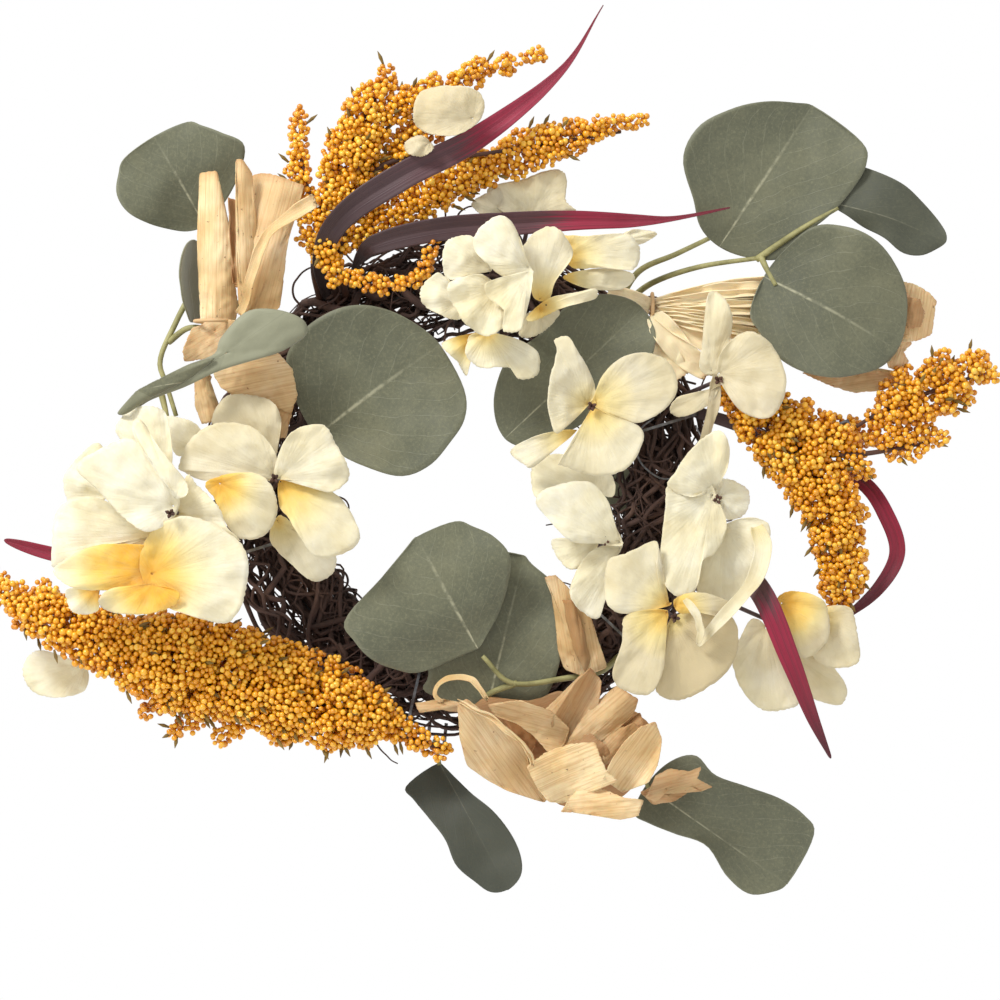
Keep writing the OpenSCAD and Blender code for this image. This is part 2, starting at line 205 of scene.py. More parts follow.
def tube(points, radius, count=24, sides=8, tint=0.5):
    line = np.array([spot(p) for p in flow(points, count)])
    r = np.interp(np.linspace(0, 1, count), np.linspace(0, 1, len(radius)), radius) * MM
    d = unit(np.gradient(line, axis=0))
    side = unit(np.cross(d, [0.31, 0.87, 0.39]))
    up = np.cross(d, side)
    a = np.linspace(0, 2 * math.pi, sides, endpoint=False)
    ring = (side[:, None] * np.cos(a)[None, :, None] + up[:, None] * np.sin(a)[None, :, None])
    p = line[:, None] + ring * r[:, None, None]
    cap = np.stack([np.repeat(line[:1], sides, 0), np.repeat(line[-1:], sides, 0)])
    return {"p": np.concatenate([cap[:1], p, cap[1:]]), "closed": True, "tint": tint}


print("flow() through 3 pegs:", flow([[0, 0, 0], [1, 1, 0], [2, 0, 0]], 5)[:, 1].round(2))

# %% [markdown]
# ## One strip of cloth or husk
# Most leaves, a grass blade and a narrow husk strip are one thing: a flat strip that
# follows a line, with its own width on each side. It can roll about the line, bend into a
# gutter across it, ruffle at its edges and crumple a little, and all are done here.

# %% The strip that every flat piece is cut from
def strip(path, left, right, roll=0.0, bend=0.0, fold=0.0, ruffle=0.0, waves=3.0, crumple=0.0,
          ragged=0.0, rows=28, cols=15, tint=0.5, shade=0.0, seed=0, round_ends=False, grain=18.0):
    s = np.linspace(0, 1, rows)
    if round_ends:
        s = (1 - np.cos(math.pi * s)) / 2
    full = flow(path, 200)
    line = np.stack([np.interp(s, np.linspace(0, 1, 200), full[:, k]) for k in range(3)], -1)
    line = np.array([spot(p) for p in line])
    d = unit(np.gradient(line, axis=0))
    side = unit(np.cross([0, -1.0, 0], d))
    out = np.cross(d, side)
    angle = np.radians(np.interp(s, np.linspace(0, 1, np.size(roll)), np.atleast_1d(roll)))[:, None]
    side, out = side * np.cos(angle) + out * np.sin(angle), out * np.cos(angle) - side * np.sin(angle)
    t = np.linspace(-1, 1, cols)
    half = np.where(t[None] > 0, edge(left, s)[:, None], edge(right, s)[:, None]) * MM
    gutter = np.radians(np.interp(s, np.linspace(0, 1, np.size(bend)), np.atleast_1d(bend)))[:, None]
    g = np.where(np.abs(gutter) < 1e-3, 1e-3, gutter) * t[None]
    x = half * np.sin(g) / (g / np.where(t == 0, 1e-9, t)[None] + 1e-12)
    z = half * (1 - np.cos(g)) / (g / np.where(t == 0, 1e-9, t)[None] + 1e-12)
    z += np.abs(x) * math.tan(math.radians(fold))
    phase = random.Random(seed).random() * 6.28
    edge_wave = np.sin(waves * 2 * math.pi * s[:, None] + phase + 1.7 * (t[None] > 0)) * np.abs(t[None])**2
    z += ruffle * MM * edge_wave * np.minimum(1, half * 1000 / 4)
    p = line[:, None] + side[:, None] * x[..., None] + out[:, None] * z[..., None]
    if ragged:
        teeth = np.array([random.Random(seed * 97 + k).random() for k in range(cols)])
        for end, near in ((0, 2), (-1, -3)):
            p[end] += (p[near] - p[end]) * (teeth * ragged)[:, None]
    if crumple:
        shift = 13.7 * seed
        for i in range(rows):
            for j in range(cols):
                q = Vector(p[i, j] * 1000 / grain) + Vector((shift, 0, shift * 0.5))
                n = noise.noise(q) + 0.5 * noise.noise(q * 2.3)
                p[i, j] += out[i] * n * crumple * MM
    return {"p": p, "tint": tint, "shade": shade}


def edge(width, s):
    if np.isscalar(width):
        return width * np.ones_like(s)
    theta = np.arccos(1 - 2 * s) / math.pi
    line = flow([[w, 0, 0] for w in width], 120)[:, 0]
    return np.maximum(0.02, np.interp(theta, np.linspace(0, 1, 120), line))


print("one strip has", 28 * 15, "points")

# %% [markdown]
# ## One patch cut to an outline
# A petal or a torn piece of husk has its own outline. It is cut with a handful of points
# and filled with rows that open from the place where it is held, like a fan. The cloth
# then bows, pleats along the fan, droops at the rim and crumples a little. A piece of husk
# can have its own way of grain instead: its edge is cut straighter from point to point, its
# pleats follow the grain, and it can bend into a gutter across it.

# %% The patch that petals and husk pieces are cut from
def closed(points, count):
    pts = np.array(points, float)
    at = np.linspace(0, len(pts), count, endpoint=False)
    k, f = at.astype(int), (at % 1)[:, None]
    a, b, c, d = pts[k - 1], pts[k], pts[(k + 1) % len(pts)], pts[(k + 2) % len(pts)]
    return 0.5 * (2 * b + (c - a) * f + (2 * a - 5 * b + 4 * c - d) * f**2 + (3 * b - a - 3 * c + d) * f**3)


def cut_edge(points, count):
    p = np.array(list(points) + [points[0]], float)
    run = np.concatenate([[0], np.cumsum(np.linalg.norm(np.diff(p, axis=0), axis=1))])
    s = np.linspace(0, run[-1], count, endpoint=False)
    q = np.stack([np.interp(s, run, p[:, k]) for k in (0, 1)], -1)
    return (q + 0.35 * np.roll(q, 1, 0) + 0.35 * np.roll(q, -1, 0)) / 1.7


def patch(outline, held, low, high, tint=0.0, bow=3.0, pleat=0.9, ruffle=1.5, droop=2.0, crumple=1.5,
          grain=9.0, ragged=0.0, seed=0, rows=20, cols=84, shade=0.0, grain_way=None, gutter=0.0):
    rnd = random.Random(seed)
    held = np.array(held, float)
    rim = closed(outline, cols) if grain_way is None else cut_edge(outline, cols)
    if ragged:
        inward = unit(held - rim)
        rim = rim + inward * np.array([ragged * rnd.random() ** 2 for _ in range(cols)])[:, None]
    u = np.linspace(0.02, 1, rows)[:, None]
    flat = held + (rim - held)[None] * u[..., None]
    away = flat - held
    far = np.linalg.norm(rim - held, axis=1).max()
    d = np.linalg.norm(away, axis=2) / far
    axis = rim.mean(0) - held
    theta = np.arctan2(axis[0] * away[..., 1] - axis[1] * away[..., 0], away @ axis)
    if grain_way is not None:
        a = math.radians(grain_way)
        theta = (flat[..., 1] * math.cos(a) - flat[..., 0] * math.sin(a)) / 30
        across = (theta - theta.mean()) / np.abs(theta - theta.mean()).max()
        low = low - gutter * across**2
    phase, turns = rnd.random() * 6.28, rnd.choice([3, 4, 5])
    lift = low + (high - np.mean(low)) * d + bow * np.sin(math.pi * np.minimum(1, d)) - droop * u**6
    lift = lift + pleat * d * np.sin(theta * rnd.uniform(6, 9) + phase)
    lift = lift + ruffle * u**4 * np.sin(np.linspace(0, turns * 2 * math.pi, cols,
                                                     endpoint=False)[None] + phase)
    shift = 17.3 * seed
    for i in range(rows):
        for j in range(cols):
            q = Vector((flat[i, j, 0] / grain + shift, flat[i, j, 1] / grain, shift * 0.3))
            lift[i, j] += crumple * (noise.noise(q) + 0.45 * noise.noise(q * 2.7))
    where = np.concatenate([flat, lift[..., None]], -1)
    p = np.array([ring_mid.x, 0, ring_mid.z]) + where[..., [0, 2, 1]] * np.array([1, -1, 1]) * MM
    return {"p": p, "closed": True, "tint": tint, "shade": shade, "lay": (d, theta * 0.8 + 0.5)}


print("one patch has", 20 * 84, "points")

# %% [markdown]
# ## Finishes
# A finish is a small chain of nodes. Coarse and fine noise give the colour its unevenness,
# stretched noise gives it a grain along the piece, and the same grain is used as a bump.
# Node() adds one node and wires it up in a single line, which keeps each finish readable.

# %% Helpers for finishes
class Finish:
    def __init__(self, name, **sockets):
        self.material = bpy.data.materials.new(name)
        self.material.use_nodes = True
        self.tree = self.material.node_tree
        self.shader = self.tree.nodes["Principled BSDF"]
        for socket, value in sockets.items():
            self.shader.inputs[socket.replace("_", " ")].default_value = value

    def node(self, kind, out=0, settings=None, **inputs):
        n = self.tree.nodes.new("ShaderNode" + kind)
        for key, value in (settings or {}).items():
            setattr(n, key, value)
        for key, value in inputs.items():
            socket = n.inputs[int(key[1:])] if key[0] == "i" and key[1:].isdigit() else n.inputs[key]
            if isinstance(value, bpy.types.NodeSocket):
                self.tree.links.new(value, socket)
            else:
                socket.default_value = value
        return n.outputs[out]

    def lay(self, along=1.0, across=1.0):
        uv = self.node("UVMap", settings={"uv_map": "lay"})
        return self.node("Mapping", Vector=uv, Scale=(along, across, 1))

    def place(self):
        return self.node("NewGeometry", out=0)

    def tint(self, which="tint"):
        return self.node("Attribute", out=2, settings={"attribute_name": which})

    def noise(self, where, scale, detail=3.0, rough=0.55):
        return self.node("TexNoise", Vector=where, Scale=scale, Detail=detail, Roughness=rough)

    def ramp(self, value, stops):
        n = self.tree.nodes.new("ShaderNodeValToRGB")
        while len(n.color_ramp.elements) < len(stops):
            n.color_ramp.elements.new(0.5)
        for element, (at, colour) in zip(n.color_ramp.elements, stops):
            element.position = at
            element.color = (*colour, 1) if len(colour) == 3 else colour
        self.tree.links.new(value, n.inputs[0])
        return n.outputs[0]

    def math(self, operation, a, b=0.0, clamp=False):
        return self.node("Math", settings={"operation": operation, "use_clamp": clamp}, i0=a, i1=b)

    def mix(self, factor, a, b, how="MIX"):
        n = self.tree.nodes.new("ShaderNodeMix")
        n.data_type, n.blend_type = "RGBA", how
        for index, value in ((0, factor), (6, a), (7, b)):
            if isinstance(value, bpy.types.NodeSocket):
                self.tree.links.new(value, n.inputs[index])
            elif index == 0:
                n.inputs[0].default_value = value
            else:
                n.inputs[index].default_value = (*value, 1)
        return n.outputs[2]

    def axis(self, vector, which):
        return self.node("SeparateXYZ", out="XYZ".index(which), i0=vector)

    def colour(self, value):
        self.tree.links.new(value, self.shader.inputs["Base Color"])

    def roughness(self, value):
        self.tree.links.new(value, self.shader.inputs["Roughness"])

    def bump(self, height, strength, distance_mm):
        n = self.node("Bump", Height=height, Strength=strength, Distance=distance_mm * MM)
        self.tree.links.new(n, self.shader.inputs["Normal"])


def srgb(r, g, b):
    return tuple((c / 255 / 12.92 if c <= 10 else ((c / 255 + 0.055) / 1.055) ** 2.4) for c in (r, g, b))


print("a mid grey in linear light:", round(srgb(128, 128, 128)[0], 3))

# %% [markdown]
# ## The cloth of the leaves
# The leaves are a close-woven cloth printed grey-green, with pale flecks where the print
# is thin, a pale midrib and side veins, and a slightly paler edge. The veins are drawn
# with the strip's own map: distance from the middle line gives the midrib, and a slanting
# wave gives the side veins. Leaves that the light reaches less are painted darker as a
# whole by their shade number, which is painted shade.

# %% Leaf cloth
def leaf_cloth():
    f = Finish("leaf_cloth", Roughness=0.62, Sheen_Weight=0.2, Sheen_Roughness=0.5)
    lay = f.lay()
    u, v = f.axis(lay, "X"), f.axis(lay, "Y")
    off = f.math("ABSOLUTE", f.math("SUBTRACT", v, 0.5))
    place = f.place()
    wide = f.noise(place, 22, 4, 0.65)
    fleck = f.noise(place, 750, 5, 0.8)
    base = f.ramp(wide, [(0.3, srgb(84, 86, 66)), (0.52, srgb(99, 100, 77)), (0.75, srgb(114, 113, 86))])
    base = f.mix(f.ramp(fleck, [(0.5, (0, 0, 0)), (0.68, (0.45, 0.45, 0.45))]), base, srgb(140, 138, 108))
    base = f.mix(f.ramp(fleck, [(0.3, (0.5, 0.5, 0.5)), (0.45, (0, 0, 0))]), base, srgb(66, 68, 54))
    fade = f.ramp(u, [(0.0, (1, 1, 1)), (0.35, (0.75, 0.75, 0.75)), (0.72, (0.1, 0.1, 0.1))])
    broken = f.ramp(f.noise(place, 260, 3), [(0.4, (0.25, 0.25, 0.25)), (0.55, (1, 1, 1))])
    midrib = f.math("MULTIPLY", f.math("MULTIPLY", f.ramp(off, [(0.004, (1, 1, 1)), (0.013, (0, 0, 0))]),
                                       fade), broken)
    slant = f.math("ADD", f.math("MULTIPLY", u, 9.0), f.math("MULTIPLY", off, -8.0))
    wander = f.math("ADD", slant, f.math("MULTIPLY", f.noise(place, 60, 2), 0.8))
    comb = f.math("ABSOLUTE", f.math("SUBTRACT", f.math("FRACT", wander), 0.5))
    veins = f.math("MULTIPLY", f.ramp(comb, [(0.0, (0.5, 0.5, 0.5)), (0.04, (0, 0, 0))]), broken)
    base = f.mix(f.math("MULTIPLY", midrib, 0.85), base, srgb(196, 192, 160))
    base = f.mix(f.math("MULTIPLY", veins, 0.6), base, srgb(152, 152, 126))
    rim = f.ramp(off, [(0.475, (0, 0, 0)), (0.5, (0.4, 0.4, 0.4))])
    base = f.mix(rim, base, srgb(142, 142, 116))
    # painted shade: the shade number darkens a whole leaf that the light reaches less
    base = f.mix(f.tint("shade"), base, srgb(44, 48, 40))
    f.colour(f.mix(f.tint(), base, srgb(150, 150, 124)))
    f.roughness(f.ramp(fleck, [(0.3, (0.5, 0.5, 0.5)), (0.7, (0.75, 0.75, 0.75))]))
    weave = f.node("TexWave", Vector=place, Scale=700, Distortion=1.5)
    lines = f.math("ADD", midrib, veins)
    f.bump(f.math("ADD", f.math("MULTIPLY", lines, 1.2), f.math("ADD", f.math("MULTIPLY", fleck, 0.5),
                                                               f.math("MULTIPLY", weave, 0.12))), 0.45, 0.3)
    return f.material


leaf_finish = leaf_cloth()
print("finish:", leaf_finish.name)

# %% [markdown]
# ## The round eucalyptus leaves
# Each leaf is die-cut from the printed cloth and heat-formed, so it is not quite flat. It
# is described by its two ends and by its half width at seven places on each side of the
# midrib. A gentle bow along it and a shallow fold at the midrib make it catch the light.

# %% Cut and place the leaves
LEAVES = {
    "leaf_1": ([(-115, 116, 36), (-126, 136, 42), (-137, 155, 44)],
               (8, 15, 22, 27, 27, 22, 16), (4, 15, 26, 33, 27, 21, 16), 6, 0, 0.0),
    "leaf_4": ([(-64.5, 22, 50), (-38, 42, 58), (-10, 62, 56)],
               (16, 33, 39, 40, 36, 26, 12), (9, 23, 37, 41, 38, 33, 22), 5, 0, 0.0),
    "leaf_5": ([(19, 21, 50), (50, 50, 56), (79.5, 78, 54)],
               (10, 19, 25, 23, 24, 19, 10), (8, 13, 18, 20, 20, 18, 11), 5, 0, 0.05),
    "leaf_6": ([(114, 106, 47), (135, 138, 56), (154, 167.5, 56)],
               (12, 21, 35, 37, 29, 18, 6), (13, 26, 28, 33, 35, 34, 27), 6, 0, 0.0),
    "leaf_7": ([(163, 124, 62), (188, 117, 64), (212, 107, 64)],
               (19, 19, 18, 16, 12, 8, 4), (2, 4, 7, 9, 12, 10, 4), -8, 0, -0.15),
    "leaf_8": ([(133, 92, 56), (163, 76, 63), (191, 59.5, 61)],
               (14, 29, 35, 36, 31, 23, 11), (17, 23, 29, 30, 26, 18, 10), 5, 0, 0.0),
    "leaf_9": ([(7, -71.6, 58), (-7, -46, 66), (-20, -22.5, 64)],
               (26, 36, 43, 46, 45, 21, 6), (5, 15, 25, 32, 30, 24, 18), -6, 0, 0.0),
    "leaf_10": ([(11, -100, 47), (19, -65, 51), (27.4, -31, 50)],
                (28, 29, 31, 29, 27, 24, 21), (13, 23, 26, 26, 24, 18, 4), 4, 0, -0.15),
    "leaf_11": ([(-10.4, -124, 32), (5, -151, 42), (20, -179, 48)],
                (1, 3, 6, 11, 13, 12, 8), (18, 18, 16, 14, 15, 11, 7), 8, 0, 0.0),
    "leaf_12": ([(82, -134, 34), (112, -155, 42), (144, -177, 44)],
                (15, 24, 22, 26, 30, 30, 25), (13, 13, 10, 6, 12, 13, 6), 6, 0, 0.0),
}
# painted shade for each leaf: how much darker it is painted where the light reaches it less
LEAF_SHADE = {"leaf_9": 0.0, "leaf_10": 0.08, "leaf_11": 0.8, "leaf_7": 0.6, "leaf_12": 0.14,
              "leaf_6": 0.12, "leaf_8": 0.12}
for number, (name, (path, ups, downs, fold, roll, tint)) in enumerate(LEAVES.items()):
    body = name if name in frame["bodies"] else "wreath"
    leaf = build(name + "_cloth", [strip(path, (0, *ups, 0), (0, *downs, 0), roll=roll, fold=fold,
                 bend=10, ruffle=1.2, waves=1.5, crumple=1.6, grain=26, rows=40, cols=31, tint=max(0, tint),
                 shade=LEAF_SHADE.get(name, 0.06), seed=number + 3, round_ends=True)], leaf_finish, body,
                 (name,))
    thicken(leaf, 0.5)
print("leaves:", len(LEAVES))

# %% [markdown]
# ## Two leaves seen differently
# One leaf is turned edge-on and one is half folded over its own stalk, showing its paler
# back. The edge-on leaf is the same strip with more roll; the folded one is two patches,
# its face and its back.

# %% The edge-on leaf, the folded leaf and the leaf behind the ring
edge_leaf = build("leaf_2_cloth", [strip([(-119, 73, 42), (-121, 92, 46), (-119, 109, 46)],
                  (0, 8, 12, 15, 16, 14, 8, 0), (0, 8, 12, 15, 16, 14, 8, 0), roll=72, bend=12,
                  crumple=1, rows=30, cols=17, round_ends=True, seed=21)],
                  leaf_finish, "wreath", ("leaf_2",))
FOLDED_FACE = [(-148, 32), (-138, 39), (-127, 46), (-118, 52), (-107, 57), (-104, 64), (-93, 75), (-80, 76),
               (-69, 72), (-67, 66), (-73, 61), (-81, 57), (-104, 50), (-119, 43), (-135, 37), (-145, 31)]
FOLDED_BACK = [(-148, 32), (-137, 39), (-127, 46), (-118, 52), (-107, 55), (-110, 52), (-118, 46),
               (-134, 38), (-145, 31)]
fold_leaf = build("leaf_3_cloth", [patch(FOLDED_FACE, (-102, 57), 82, 82, 0.55, bow=1.5, pleat=0.6,
                                         crumple=0.8, seed=22),
                  patch(FOLDED_BACK, (-140, 41), 85, 86, 0.0, bow=0.5, pleat=0.2, ruffle=0.4, crumple=0.3,
                        seed=24)],
                  leaf_finish, "wreath", ("leaf_3",))
back_leaf = build("leaf_13_cloth", [strip([(86, -9, 2.2), (74, -2, 2.8), (62, 4, 3)],
                  (0, 8, 10, 10, 8, 5, 0), (0, 8, 10, 10, 8, 5, 0), bend=2, rows=24, cols=15,
                  round_ends=True, tint=0.3, seed=23)], leaf_finish, "wreath", ("leaf_13",))
for leaf in (edge_leaf, fold_leaf, back_leaf):
    thicken(leaf, 0.5)
print("turned leaves:", 3)

# %% [markdown]
# ## The cloth of the petals
# The petals are a thin cream cloth, tinted gold at the base on some of them and faintly
# ribbed by fine veins that run out from the base. Light goes part of the way into the
# cloth, so it keeps a soft glow in the shade. A shade number paints some petals darker
# beige: partly the beige cloth of those flowers, partly painted shade on petals that lie
# in shadow.

# %% Petal cloth
def petal_cloth():
    f = Finish("petal_cloth", Roughness=0.75, Sheen_Weight=0.15, Sheen_Roughness=0.6,
               Subsurface_Weight=0.25, Subsurface_Scale=0.003, Subsurface_Radius=(1.0, 0.8, 0.5))
    lay = f.lay()
    u = f.axis(lay, "X")
    place = f.place()
    cloudy = f.noise(place, 45, 4)
    body = f.ramp(cloudy, [(0.3, srgb(228, 212, 166)), (0.5, srgb(239, 228, 190)),
                           (0.7, srgb(245, 238, 210))])
    # the shade number: partly beige cloth, partly painted shade on petals that lie in shadow
    body = f.mix(f.tint("shade"), body, srgb(194, 174, 134))
    reach = f.math("ADD", f.tint(), f.math("MULTIPLY", f.math("SUBTRACT", cloudy, 0.5), 0.45))
    depth = f.math("SUBTRACT", reach, u)
    gold = f.ramp(depth, [(0.0, (0, 0, 0)), (0.5, (1, 1, 1))])
    pale = f.mix(gold, body, srgb(243, 212, 108))
    deep = f.ramp(depth, [(0.25, (0, 0, 0)), (0.7, (1, 1, 1))])
    pale = f.mix(deep, pale, srgb(242, 172, 38))
    ribs = f.noise(f.lay(2.0, 17), 1.0, 4)
    blotch = f.noise(place, 190, 3)
    shade = f.math("ADD", f.math("MULTIPLY", f.ramp(ribs, [(0.4, (0, 0, 0)), (0.8, (1, 1, 1))]), 0.20),
                   f.math("MULTIPLY", f.ramp(blotch, [(0.45, (0, 0, 0)), (0.7, (1, 1, 1))]), 0.16))
    f.colour(f.mix(shade, pale, srgb(196, 178, 132)))
    fine = f.noise(place, 1100, 2)
    f.bump(f.math("ADD", f.math("MULTIPLY", ribs, 1.3), f.math("MULTIPLY", fine, 0.3)), 0.6, 0.6)
    return f.material


petal_finish = petal_cloth()
print("finish:", petal_finish.name)

# %% [markdown]
# ## A flower
# A cloth hydrangea floret is four or five petals on a wire stalk with a tiny knot in the
# middle. Each petal is a patch: its outline, the place where it is held, how far out from
# the door its base and its tip are, and how far the gold tint spreads.

